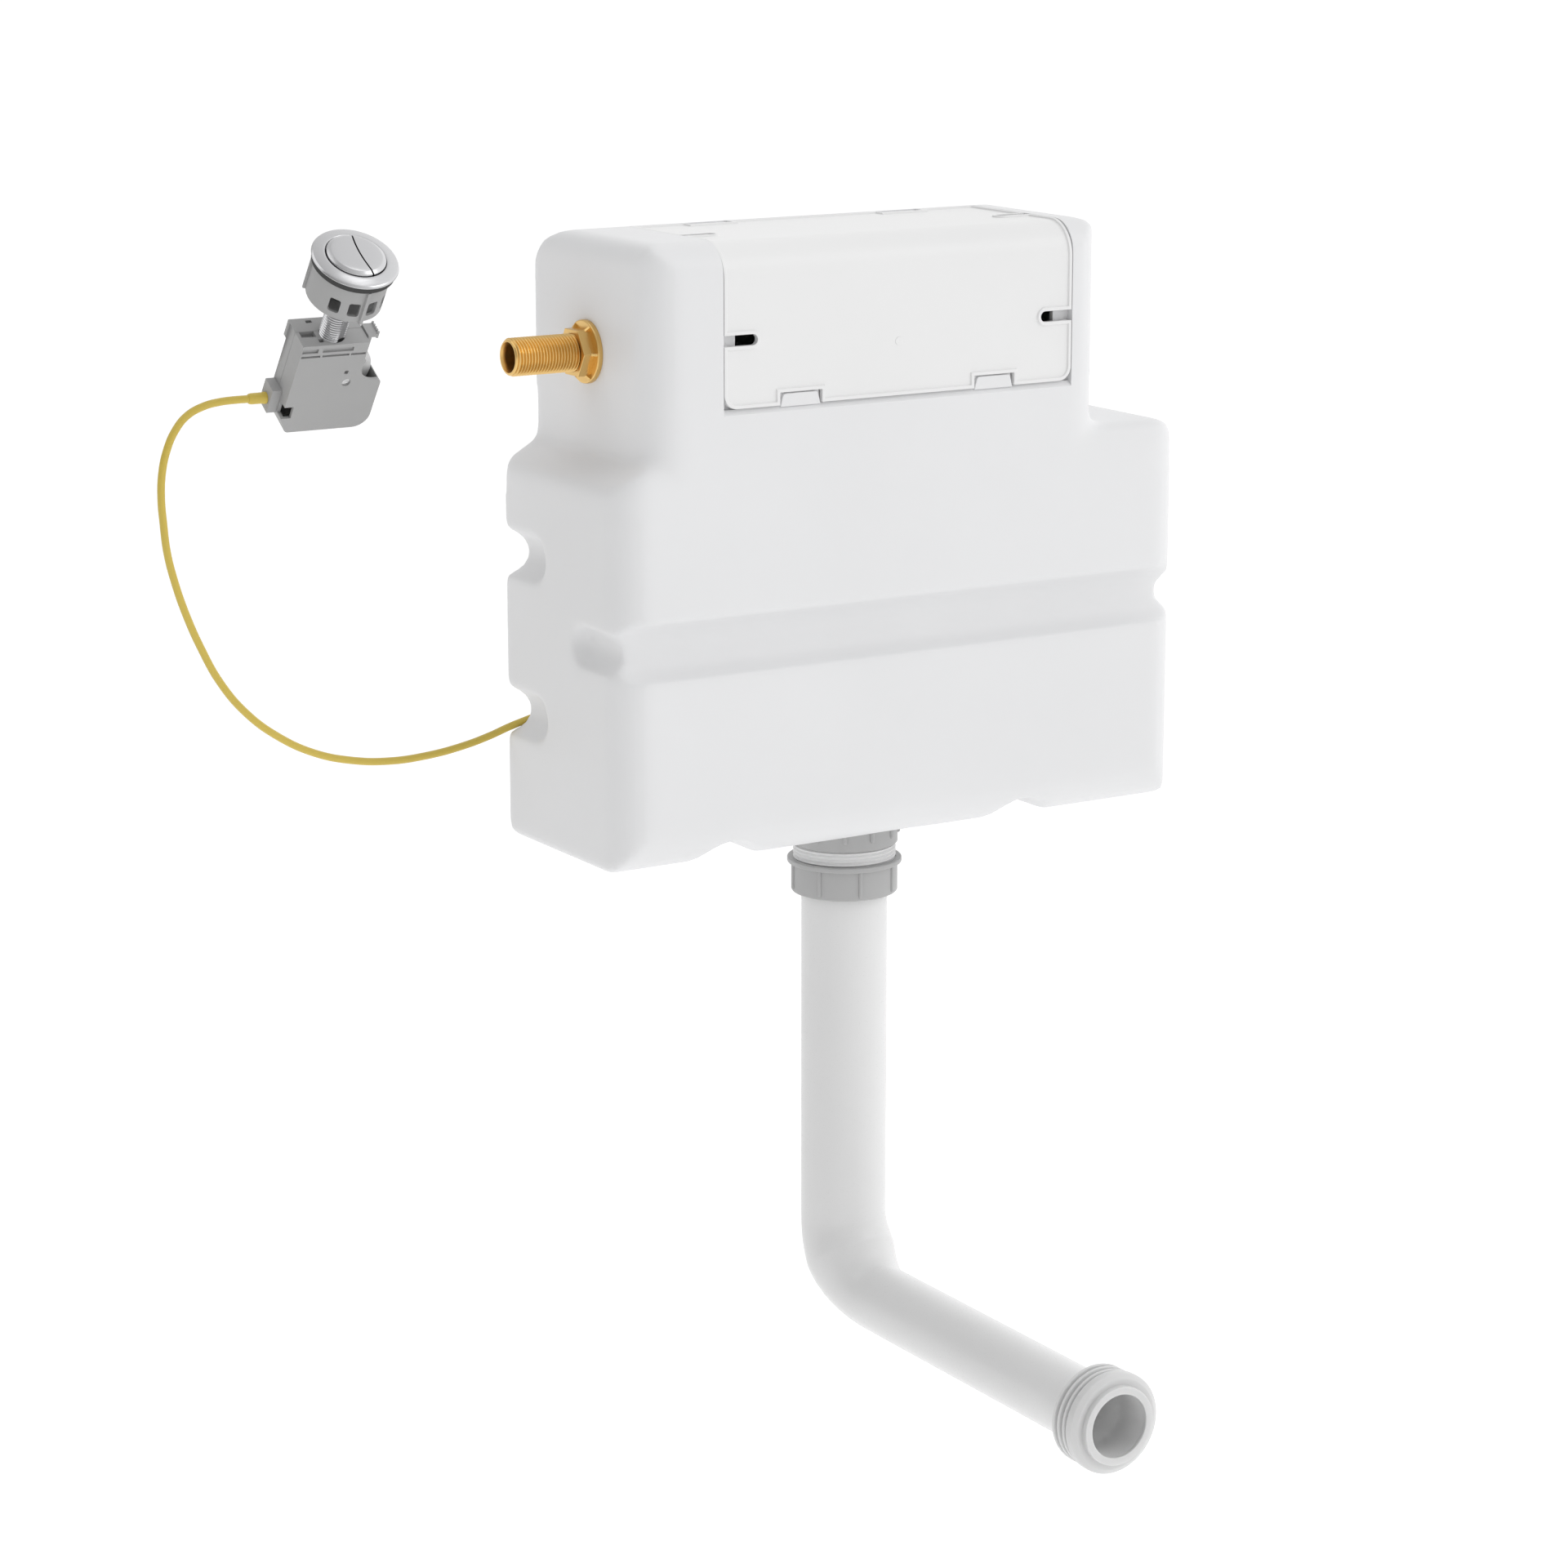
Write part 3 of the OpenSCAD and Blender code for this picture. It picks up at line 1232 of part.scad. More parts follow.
// Thumb slide whose forked tongue locks into the stem's thread
module release_clip() {
    tongue_z1 = case_z1 - case_top_t - 0.2;
    color("darkgray") at_button() difference() {
        union() {
            block([stem_r - 2, -5, tongue_z1 - 1.8], [case_x1 + 2, 2, tongue_z1]);
            block([case_x1 + move_gap, -5, tongue_z1 - 1.8], [case_x1 + 2.4, 5, case_z1 + 1]);
            block([case_x1 + move_gap, -4, case_z1 - 1], [case_x1 + 6.6, 5, case_z1 + 1]);
            for (k = [0 : 4]) translate([case_x1 + 6.6, -3.2 + 2 * k, case_z1 - 2])
                cylinder(r = 0.7, h = 4);
        }
        translate([0, 0, stem_z0 - over]) cylinder(r = stem_r + move_gap, h = case_z1 - stem_z0);
    }
}

module lever_pin() {
    color("silver") at_button() translate([pivot[0], case_y1 - case_wall - 0.1, pivot[1]]) rotate([90, 0, 0])
        cylinder(r = lever_pin_r, h = case_y1 - case_wall - 0.1 - case_y0 - 0.9);
}

// A straight arm from the pivot towards the left, leaning up by lean
module lever_arm(y0, y1, lean, reach) {
    along_y(y0, y1) translate(pivot) rotate(-lean) translate([-reach, -arm_half_t])
        square([reach, 2 * arm_half_t]);
}

module lever_hub_hole() {
    translate([pivot[0], 2 * case_d, pivot[1]]) rotate([90, 0, 0])
        cylinder(r = lever_pin_r + pin_gap, h = 4 * case_d);
}

// White quadrant that winds the pull wire, with the arm that the full-flush rod pushes
module cable_drum() {
    groove = 2 * wire_r + 0.4;
    color("white") at_button() difference() {
        union() {
            lever_arm(drum_y0, drum_y1, full_lean, 20);
            intersection() {
                translate([pivot[0], drum_y1, pivot[1]]) rotate([90, 0, 0])
                    cylinder(r = drum_rim_r, h = drum_y1 - drum_y0);
                along_y(drum_y0 - over, drum_y1 + over) translate(pivot) polygon([
                    [0, 0], 2 * drum_r * [cos(200), sin(200)], 2 * drum_r * [cos(240), sin(240)],
                    2 * drum_r * [cos(300), sin(300)], [2 * drum_r, 0], 2 * drum_r * [cos(40), sin(40)]
                ]);
            }
            translate([pivot[0], drum_y1, pivot[1]]) rotate([90, 0, 0])
                cylinder(r = hub_r, h = drum_y1 - drum_y0);
        }
        translate([pivot[0], wire_y + groove / 2, pivot[1]]) rotate([90, 0, 0])
            ring(drum_rim_r + over, drum_r - move_gap, 0, groove);
        lever_hub_hole();
    }
}

// Lever that the half-flush rod pushes; its finger carries the drum's arm down with it
module half_lever() {
    tip = 18;
    finger_z = tip * tan(full_lean) + arm_half_t / cos(full_lean) + move_gap;
    color("white") at_button() difference() {
        union() {
            lever_arm(half_y0, half_y1, half_lean, tip + 2);
            translate([pivot[0], half_y1, pivot[1]]) rotate([90, 0, 0])
                cylinder(r = hub_r, h = half_y1 - half_y0);
            block(
                [pivot[0] - tip - 2.6, half_y0, pivot[1] + 2],
                [pivot[0] - tip + 0.4, half_y1, pivot[1] + finger_z + 2.8]
            );
            block(
                [pivot[0] - tip - 2.6, half_y0, pivot[1] + finger_z],
                [pivot[0] - tip + 0.4, drum_y1 - 0.4, pivot[1] + finger_z + 2.8]
            );
        }
        lever_hub_hole();
    }
}

module drum_wire() {
    x0 = anchor_x0 + 4.2;
    color("silver") at_button() translate([x0, wire_y, wire_z]) rotate([0, 90, 0])
        cylinder(r = wire_r, h = pivot[0] - x0);
}

module cable_ferrule() {
    color("gold") at_button() translate([anchor_x0, wire_y, wire_z]) rotate([0, -90, 0]) {
        cylinder(r = ferrule_r, h = ferrule_l);
        translate([0, 0, -3.9]) cylinder(r = ferrule_r - 1, h = 4.9);
    }
}

module flush_cable() {
    color("gold") swept_tube(smooth_path(free_route, 2), cable_r, 8, [0, 1, 0]);
}

module cable_run() {
    color("gold") swept_tube(held_route, cable_r, 8, [0, 1, 0]);
}

module cable_gland() {
    color("dimgray") from_base() translate([channel_x, -9, 0]) difference() {
        union() {
            translate([0, 0, channel_top - 2]) cylinder(r = 5.2, h = 2);
            translate([0, 0, channel_top - over]) cylinder(r = 3.5, h = tank_wall + 2 * over);
            translate([0, 0, channel_top + tank_wall]) cylinder(r = 5.2, h = 2);
        }
        translate([0, 0, channel_top - 3]) cylinder(r = cable_r + fit_gap, h = tank_wall + 6);
    }
}

tank_shell();
recess_frame();
access_cover();
inlet_shank();
inlet_back_nut();
inlet_washer();
fill_valve_body();
fill_valve_cap();
fill_diaphragm();
fill_tube();
float_pin();
float_arm();
float_rod();
float_cup();
flush_valve_base();
outlet_gasket();
flush_basket();
valve_head();
lift_tube();
flush_seal();
half_flush_float();
lift_hook();
lift_wire();
cable_end_ferrule();
outlet_back_nut();
coupling_nut();
pipe_seal();
flush_pipe();
pan_seal();
bezel();
panel_gasket();
button_cup();
full_button();
half_button();
full_push_rod();
half_push_rod();
full_spring();
half_spring();
threaded_stem();
actuator_case();
actuator_cover();
release_clip();
lever_pin();
cable_drum();
half_lever();
drum_wire();
cable_ferrule();
flush_cable();
cable_run();
cable_gland();
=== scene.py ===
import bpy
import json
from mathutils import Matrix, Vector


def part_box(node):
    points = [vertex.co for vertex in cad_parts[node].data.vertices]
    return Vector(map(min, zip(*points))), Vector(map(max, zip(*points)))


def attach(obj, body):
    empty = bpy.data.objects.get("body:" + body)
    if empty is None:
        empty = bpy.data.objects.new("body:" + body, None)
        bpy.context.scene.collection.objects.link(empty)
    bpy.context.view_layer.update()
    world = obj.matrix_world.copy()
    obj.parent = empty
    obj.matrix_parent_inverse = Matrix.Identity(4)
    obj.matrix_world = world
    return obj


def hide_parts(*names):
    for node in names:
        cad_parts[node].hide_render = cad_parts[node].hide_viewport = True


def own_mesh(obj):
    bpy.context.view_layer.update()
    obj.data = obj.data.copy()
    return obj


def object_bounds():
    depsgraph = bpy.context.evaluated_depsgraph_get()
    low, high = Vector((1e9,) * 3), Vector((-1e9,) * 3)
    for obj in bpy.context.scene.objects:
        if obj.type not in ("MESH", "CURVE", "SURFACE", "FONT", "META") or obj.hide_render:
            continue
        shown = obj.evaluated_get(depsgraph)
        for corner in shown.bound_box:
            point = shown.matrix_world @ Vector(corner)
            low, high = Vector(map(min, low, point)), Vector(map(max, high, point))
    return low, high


bl_info = {
    "name": "Concealed toilet cistern",
    "version": (1, 0, 0),
    "blender": (4, 5, 0),
    "location": "3D View > Sidebar > Cistern",
    "description": "Dresses the cistern's solids with detailed pieces, finishes and a studio",
    "category": "Object",
}

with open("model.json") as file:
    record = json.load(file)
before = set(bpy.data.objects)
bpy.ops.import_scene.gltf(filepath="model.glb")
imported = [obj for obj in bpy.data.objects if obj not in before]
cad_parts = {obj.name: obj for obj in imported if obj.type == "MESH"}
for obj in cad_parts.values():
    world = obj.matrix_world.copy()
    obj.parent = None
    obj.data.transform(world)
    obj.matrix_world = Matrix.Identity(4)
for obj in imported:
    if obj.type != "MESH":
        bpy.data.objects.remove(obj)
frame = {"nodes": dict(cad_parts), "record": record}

import json
import math

import bmesh
import bpy
from bpy.props import FloatProperty, FloatVectorProperty, IntProperty, PointerProperty
from mathutils import Matrix, Vector

SOLID_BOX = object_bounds()
MM = 0.001
FULL_TURN = 2 * math.pi
SLOT_COLOUR = {m["slot"]: m["base_color"] for m in frame["record"]["materials"]}

# Places of the groups of pieces, from each group's own axes to the wall datum
TANK = Matrix.Translation((0, 0, -0.112))
OUTLET = Matrix.Translation((0, -0.066, -0.112))
INLET = Matrix.Translation((-0.167, -0.066, 0.162)) @ Matrix.Rotation(math.radians(-90), 4, "Y")
SEAL = Matrix.Translation((0, -0.3194, -0.4015)) @ Matrix.Rotation(math.radians(90), 4, "X")
BUTTON = Matrix.Translation((-0.3129, -0.0821, 0.2235)) @ Matrix.Rotation(math.radians(35.5), 4, "X")


# Handling of objects and selections

def idle():
    """Leaves edit mode with nothing selected."""
    if bpy.context.object and bpy.context.object.mode != "OBJECT":
        bpy.ops.object.mode_set(mode="OBJECT")
    bpy.ops.object.select_all(action="DESELECT")


def hold(piece):
    """Makes one piece the only selected and the active one."""
    idle()
    piece.select_set(True)
    bpy.context.view_layer.objects.active = piece


def open_mesh(piece):
    """Opens a piece for editing with everything in it selected."""
    hold(piece)
    bpy.ops.object.mode_set(mode="EDIT")
    bpy.ops.mesh.select_all(action="SELECT")


def close_mesh():
    bpy.ops.object.mode_set(mode="OBJECT")


def named(name):
    """Names the object that was just added."""
    piece = bpy.context.object
    piece.name = name
    piece.data.name = name
    return piece


def fix_place():
    """Works the active piece's place, turn and scale into its mesh."""
    bpy.ops.object.transform_apply(location=True, rotation=True, scale=True)


def weld(gap=1e-6):
    """Selects all of the open mesh and merges vertices closer than a gap, in metres."""
    bpy.ops.mesh.select_all(action="SELECT")
    bpy.ops.mesh.remove_doubles(threshold=gap)


def face_out():
    """Points all faces of the open mesh outwards and closes it."""
    bpy.ops.mesh.select_all(action="SELECT")
    bpy.ops.mesh.normals_make_consistent(inside=False)
    close_mesh()


def choose(piece, kind, test):
    """Selects the vertices, edges or faces that pass a test of their places in millimetres."""
    bpy.ops.mesh.select_mode(type=kind)
    bpy.ops.mesh.select_all(action="DESELECT")
    mesh = bmesh.from_edit_mesh(piece.data)
    for item in {"VERT": mesh.verts, "EDGE": mesh.edges, "FACE": mesh.faces}[kind]:
        if kind == "VERT":
            ok = test(item.co / MM)
        elif kind == "EDGE":
            ok = test(item.verts[0].co / MM, item.verts[1].co / MM)
        else:
            ok = test(item.calc_center_median() / MM, item.normal)
        if ok:
            item.select_set(True)
    mesh.select_flush_mode()
    bmesh.update_edit_mesh(piece.data)


def apply(piece, kind, **values):
    """Adds a modifier with these values and applies it."""
    hold(piece)
    step = piece.modifiers.new(kind.title(), kind)
    for key, value in values.items():
        setattr(step, key, value)
    bpy.ops.object.modifier_apply(modifier=step.name)
    return piece


def discard(piece):
    mesh = piece.data
    bpy.data.objects.remove(piece)
    bpy.data.meshes.remove(mesh)


def cut(piece, *tools, how="DIFFERENCE"):
    """Cuts tools out of a piece, joins them to it or keeps what they share, then puts the tools away."""
    for tool in tools:
        apply(piece, "BOOLEAN", operation=how, object=tool, solver="EXACT")
        discard(tool)
    return piece


def join(piece, *others):
    """Makes the others part of the piece's mesh."""
    hold(piece)
    for other in others:
        other.select_set(True)
    bpy.ops.object.join()
    return piece


def clean(piece):
    """Closes seams, clears flat splits and points the faces outwards."""
    open_mesh(piece)
    bpy.ops.mesh.remove_doubles(threshold=2e-6)
    bpy.ops.mesh.dissolve_limited(angle_limit=math.radians(0.5))
    face_out()
    return piece


def soften(piece, width, segments=2, angle=35):
    """Rounds the sharp edges by a width in millimetres."""
    return apply(
        piece, "BEVEL", width=width * MM, segments=segments, limit_method="ANGLE",
        angle_limit=math.radians(angle), use_clamp_overlap=True, miter_outer="MITER_ARC",
    )


def smooth(piece, angle=32):
    """Shades a piece smoothly below an angle, with its large flat faces kept flat."""
    hold(piece)
    bpy.ops.object.shade_smooth_by_angle(angle=math.radians(angle))
    return apply(piece, "WEIGHTED_NORMAL", weight=50, keep_sharp=True)


def settle(piece, place, body, material, slot, *nodes):
    """Puts a finished piece in its place, on its body and in its finish."""
    hold(piece)
    piece.matrix_world = place
    fix_place()
    piece.data.materials.clear()
    piece.data.materials.append(material)
    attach(piece, body)
    if nodes:
        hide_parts(*nodes)
    return piece


# Drawing of plain shapes, sizes in millimetres

def block(name, low, high):
    """A box between two corners."""
    idle()
    low, high = Vector(low) * MM, Vector(high) * MM
    bpy.ops.mesh.primitive_cube_add(size=1, location=(low + high) / 2, scale=high - low)
    piece = named(name)
    fix_place()
    return piece


def rod(name, r, start, end, sides=64):
    """A round bar between two points."""
    idle()
    start, end = Vector(start) * MM, Vector(end) * MM
    way = end - start
    bpy.ops.mesh.primitive_cylinder_add(
        vertices=sides, radius=r * MM, depth=way.length, location=(start + end) / 2,
        rotation=way.to_track_quat("Z", "Y").to_euler(),
    )
    piece = named(name)
    fix_place()
    return piece


def ball(name, r, middle):
    idle()
    bpy.ops.mesh.primitive_uv_sphere_add(
        segments=48, ring_count=24, radius=r * MM, location=Vector(middle) * MM
    )
    piece = named(name)
    fix_place()
    return piece


def draw(name, points):
    """A row of edges, drawn by extruding one vertex from point to point; left open for editing."""
    idle()
    bpy.ops.mesh.primitive_plane_add(size=0.001)
    piece = named(name)
    bpy.ops.object.mode_set(mode="EDIT")
    bpy.ops.mesh.select_mode(type="VERT")
    bpy.ops.mesh.select_all(action="SELECT")
    bpy.ops.mesh.merge(type="CENTER")
    bpy.ops.transform.translate(value=Vector(points[0]) * MM)
    for a, b in zip(points, points[1:]):
        step = (Vector(b) - Vector(a)) * MM
        bpy.ops.mesh.extrude_region_move(TRANSFORM_OT_translate={"value": step})
    return piece


def prism(name, corners, axis, start, end, segments=8):
    """An outline of (u, v, corner radius) drawn across one axis, rounded at its corners and extruded."""
    spot = {
        "X": lambda u, v: (start, u, v), "Y": lambda u, v: (u, start, v), "Z": lambda u, v: (u, v, start),
    }[axis]
    points = [spot(u, v) for u, v, r in corners]
    piece = draw(name, points + points[:1])
    weld()
    bpy.ops.mesh.select_all(action="SELECT")
    bpy.ops.mesh.edge_face_add()
    for k, (u, v, r) in enumerate(corners):
        if r <= 0:
            continue
        here = Vector(points[k])
        to_last = (Vector(points[k - 1]) - here).normalized()
        to_next = (Vector(points[(k + 1) % len(points)]) - here).normalized()
        half = to_last.angle(to_next) / 2
        choose(piece, "VERT", lambda co: (co - here).length < 0.01)
        bpy.ops.mesh.bevel(
            offset=r * MM / math.tan(half), segments=segments, profile=0.5, affect="VERTICES",
            clamp_overlap=True,
        )
    bpy.ops.mesh.select_all(action="SELECT")
    way = {"X": (1, 0, 0), "Y": (0, 1, 0), "Z": (0, 0, 1)}[axis]
    bpy.ops.mesh.extrude_region_move(TRANSFORM_OT_translate={"value": Vector(way) * (end - start) * MM})
    face_out()
    return piece


def turn(name, profile, steps=96):
    """A closed profile of (radius, height), spun round the upright axis."""
    points = [(r, 0, z) for r, z in profile]
    piece = draw(name, points + points[:1])
    weld()
    bpy.ops.mesh.select_all(action="SELECT")
    bpy.ops.mesh.spin(steps=steps, angle=FULL_TURN, center=(0, 0, 0), axis=(0, 0, 1))
    weld(2e-6)
    bpy.ops.mesh.delete_loose(use_verts=True, use_edges=True, use_faces=False)
    face_out()
    return piece


def round_copies(piece, count):
    """Repeats what is drawn evenly round the upright axis."""
    open_mesh(piece)
    bpy.ops.mesh.spin(
        steps=count - 1, angle=FULL_TURN * (count - 1) / count, dupli=True, center=(0, 0, 0), axis=(0, 0, 1)
    )
    close_mesh()
    return piece


def turned_to(piece, degrees):
    """Turns a drawn piece about the upright axis."""
    hold(piece)
    piece.rotation_euler = (0, 0, math.radians(degrees))
    fix_place()
    return piece


def threaded_bar(name, r, depth, pitch, z0, z1, steps=64):
    """A solid bar with a true screw thread on it between two heights."""
    root = r - depth
    rise = [(root, 0), (root, 0.16), (r - 0.12 * depth, 0.44), (r, 0.5), (r, 0.6), (r - 0.12 * depth, 0.66),
            (root, 0.94), (root, 1)]
    piece = draw(name, [(a, 0, z0 + pitch * (b - 2)) for a, b in rise])
    close_mesh()
    apply(
        piece, "SCREW", axis="Z", angle=FULL_TURN, screw_offset=pitch * MM, steps=steps, render_steps=steps,
        iterations=int((z1 - z0) / pitch) + 5, use_merge_vertices=True, merge_threshold=1e-6,
    )
    open_mesh(piece)
    bpy.ops.mesh.remove_doubles(threshold=1e-6)
    for z, above in ((z0, False), (z1, True)):
        bpy.ops.mesh.select_all(action="SELECT")
        bpy.ops.mesh.bisect(
            plane_co=(0, 0, z * MM), plane_no=(0, 0, 1), use_fill=True,
            clear_inner=not above, clear_outer=above, threshold=1e-7,
        )
    face_out()
    return piece


# Finishes

def group_of(name, inputs, outputs):
    """An empty shader node group with these sockets."""
    group = bpy.data.node_groups.new(name, "ShaderNodeTree")
    for label, value in inputs:
        socket = group.interface.new_socket(name=label, in_out="INPUT", socket_type="NodeSocketFloat")
        socket.default_value = value
    for label in outputs:
        group.interface.new_socket(name=label, in_out="OUTPUT", socket_type="NodeSocketFloat")
    return group, group.nodes.new("NodeGroupInput"), group.nodes.new("NodeGroupOutput")


def moulded_skin():
    """Fine moulded grain, the broad unevenness of a moulded wall, and slow changes of gloss."""
    found = bpy.data.node_groups.get("Moulded skin")
    if found:
        return found
    group, given, out = group_of(
        "Moulded skin", [("Grain scale", 900), ("Wave scale", 30), ("Patch scale", 8)], ["Height", "Patch", "Speck"]
    )
    add, link = group.nodes.new, group.links.new
    where = add("ShaderNodeTexCoord")
    grain, wave, patch = (add("ShaderNodeTexNoise") for k in range(3))
    for node, label, detail in ((grain, "Grain scale", 2), (wave, "Wave scale", 1), (patch, "Patch scale", 3)):
        link(where.outputs["Object"], node.inputs["Vector"])
        link(given.outputs[label], node.inputs["Scale"])
        node.inputs["Detail"].default_value = detail
    mix = add("ShaderNodeMath")
    mix.operation = "MULTIPLY_ADD"
    mix.inputs[1].default_value = 4
    link(wave.outputs["Fac"], mix.inputs[0])
    link(grain.outputs["Fac"], mix.inputs[2])
    link(mix.outputs[0], out.inputs["Height"])
    link(patch.outputs["Fac"], out.inputs["Patch"])
    link(grain.outputs["Fac"], out.inputs["Speck"])
    return group


def drawn_streaks():
    """Fine lines that a die or a cutter leaves, stretched along chosen axes."""
    found = bpy.data.node_groups.get("Drawn streaks")
    if found:
        return found
    group, given, out = group_of(
        "Drawn streaks", [("Across X", 600), ("Across Y", 600), ("Across Z", 12)], ["Streak", "Patch"]
    )
    add, link = group.nodes.new, group.links.new
    where, scale = add("ShaderNodeTexCoord"), add("ShaderNodeCombineXYZ")
    for k, label in enumerate(("Across X", "Across Y", "Across Z")):
        link(given.outputs[label], scale.inputs[k])
    stretch = add("ShaderNodeVectorMath")
    stretch.operation = "MULTIPLY"
    link(where.outputs["Object"], stretch.inputs[0])
    link(scale.outputs[0], stretch.inputs[1])
    fine, slow = add("ShaderNodeTexNoise"), add("ShaderNodeTexNoise")
    fine.inputs["Scale"].default_value = 1
    fine.inputs["Detail"].default_value = 3
    slow.inputs["Scale"].default_value = 25
    link(stretch.outputs[0], fine.inputs["Vector"])
    link(where.outputs["Object"], slow.inputs["Vector"])
    link(fine.outputs["Fac"], out.inputs["Streak"])
    link(slow.outputs["Fac"], out.inputs["Patch"])
    return group


class Finish:
    """One material in the making: its shader, and the nodes that vary it over the surface."""

    def __init__(self, name):
        self.material = bpy.data.materials.new(name)
        self.material.use_nodes = True
        self.nodes = self.material.node_tree.nodes
        self.link = self.material.node_tree.links.new
        self.shader = self.nodes["Principled BSDF"]

    def set(self, **values):
        for label, value in values.items():
            self.shader.inputs[label.replace("_", " ").title().replace("Ior", "IOR")].default_value = value
        return self

    def group(self, tree, **values):
        node = self.nodes.new("ShaderNodeGroup")
        node.node_tree = tree
        for label, value in values.items():
            node.inputs[label.replace("_", " ")].default_value = value
        return node

    def colour(self, source, low, high, start=0.3, end=0.7):
        """Base colour that runs between two tones."""
        ramp = self.nodes.new("ShaderNodeValToRGB")
        ramp.color_ramp.elements[0].position = start
        ramp.color_ramp.elements[0].color = (*low, 1)
        ramp.color_ramp.elements[1].position = end
        ramp.color_ramp.elements[1].color = (*high, 1)
        self.link(source, ramp.inputs["Fac"])
        self.link(ramp.outputs["Color"], self.shader.inputs["Base Color"])

    def rough(self, source, low, high):
        """Roughness that runs between two values."""
        spread = self.nodes.new("ShaderNodeMapRange")
        for label, value in (("From Min", 0.3), ("From Max", 0.7), ("To Min", low), ("To Max", high)):
            spread.inputs[label].default_value = value
        self.link(source, spread.inputs["Value"])
        self.link(spread.outputs["Result"], self.shader.inputs["Roughness"])

    def relief(self, source, depth):
        """Fine relief of a depth in millimetres."""
        bump = self.nodes.new("ShaderNodeBump")
        bump.inputs["Strength"].default_value = 1.0
        bump.inputs["Distance"].default_value = depth * MM
        self.link(source, bump.inputs["Height"])
        self.link(bump.outputs["Normal"], self.shader.inputs["Normal"])


def tinted(colour, amount):
    return tuple(min(1.0, c * amount) for c in colour)


def moulded(name, colour, spread=0.02, rough=(0.4, 0.5), grain=900, wave=30, depth=0.006, **shader):
    """Moulded plastic or rubber."""
    found = bpy.data.materials.get(name)
    if found:
        return found
    made = Finish(name).set(**shader)
    skin = made.group(moulded_skin(), Grain_scale=grain, Wave_scale=wave)
    made.colour(skin.outputs["Patch"], tinted(colour, 1 - spread), tinted(colour, 1 + spread))
    made.rough(skin.outputs["Speck"], *rough)
    made.relief(skin.outputs["Height"], depth)
    return made.material


def drawn(name, colour, across, spread=0.03, rough=(0.25, 0.4), depth=0.004, **shader):
    """Drawn, extruded or brushed stuff with fine lines along it."""
    found = bpy.data.materials.get(name)
    if found:
        return found
    made = Finish(name).set(**shader)
    lines = made.group(drawn_streaks(), Across_X=across[0], Across_Y=across[1], Across_Z=across[2])
    made.colour(lines.outputs["Patch"], tinted(colour, 1 - spread), tinted(colour, 1 + spread))
    made.rough(lines.outputs["Streak"], *rough)
    made.relief(lines.outputs["Streak"], depth)
    return made.material


# Light that passes a little way into thin white plastic and rubber
SOFT_WHITE = {
    "subsurface_weight": 0.5, "subsurface_radius": (0.004, 0.004, 0.004), "subsurface_scale": 1.0,
}
METAL = {"metallic": 1.0}

# Each finish: how it is made, its material's name, whose colour it takes, its further values in the
# order in which its maker takes them, and plain values of its shader
FINISHES = {
    "tank_white": (moulded, "Blow-moulded white", "tank", (0.012, (0.42, 0.5), 420, 22, 0.012), {"ior": 1.45}),
    "cover_white": (moulded, "Moulded cover white", "cover", (0.01, (0.36, 0.44), 1100, 30, 0.004), {"ior": 1.46}),
    "white_plastic": (
        moulded, "Extruded pipe white", "pipe", (0.008, (0.27, 0.33), 1500, 14, 0.002), {"ior": 1.5, **SOFT_WHITE}
    ),
    "inner_white": (moulded, "Inner white plastic", "cover", (0.02, (0.32, 0.42), 800, 40, 0.004), {}),
    "grey_plastic": (moulded, "Grey nut plastic", "grey", (0.03, (0.4, 0.5), 1300, 60, 0.006), {"ior": 1.46}),
    "case_grey": (moulded, "Grey case plastic", "case", (0.025, (0.42, 0.55), 2600, 80, 0.008), {"ior": 1.45}),
    "inner_plastic": (moulded, "Inner blue-grey plastic", "inner", (0.04, (0.35, 0.46), 900, 40, 0.004), {}),
    "brass": (drawn, "Turned brass", "brass", ((900, 30, 30), 0.06, (0.26, 0.38), 0.006), METAL),
    "chrome": (drawn, "Satin chrome", "chrome", ((40, 1500, 40), 0.02, (0.2, 0.27), 0.0015), METAL),
    "bright_chrome": (drawn, "Bright plated stem", "chrome", ((60, 60, 900), 0.03, (0.12, 0.2), 0.002), METAL),
    "steel": (drawn, "Drawn steel wire", "steel", ((300, 300, 2000), 0.05, (0.2, 0.34), 0.003), METAL),
    "rubber_black": (moulded, "Black rubber", "rubber_black", (0.15, (0.55, 0.7), 1600, 60, 0.01), {}),
    "rubber_red": (moulded, "Red rubber", "rubber_red", (0.1, (0.5, 0.65), 1600, 60, 0.01), {}),
    "seal_white": (moulded, "White seal rubber", "seal", (0.015, (0.4, 0.5), 1500, 60, 0.006), SOFT_WHITE),
    "cable_yellow": (moulded, "Yellow cable sheath", "cable", (0.05, (0.3, 0.42), 700, 120, 0.02), {"ior": 1.48}),
}


def finish(name):
    """One of the finishes, built when it is first asked for; a colour that no user sets is the record's."""
    make, label, source, values, shader = FINISHES[name]
    colour = getattr(bpy.context.scene.cistern_colours, source, None) or SLOT_COLOUR[source]
    return make(label, colour, *values, **shader)


# Sizes and colours that a user may change

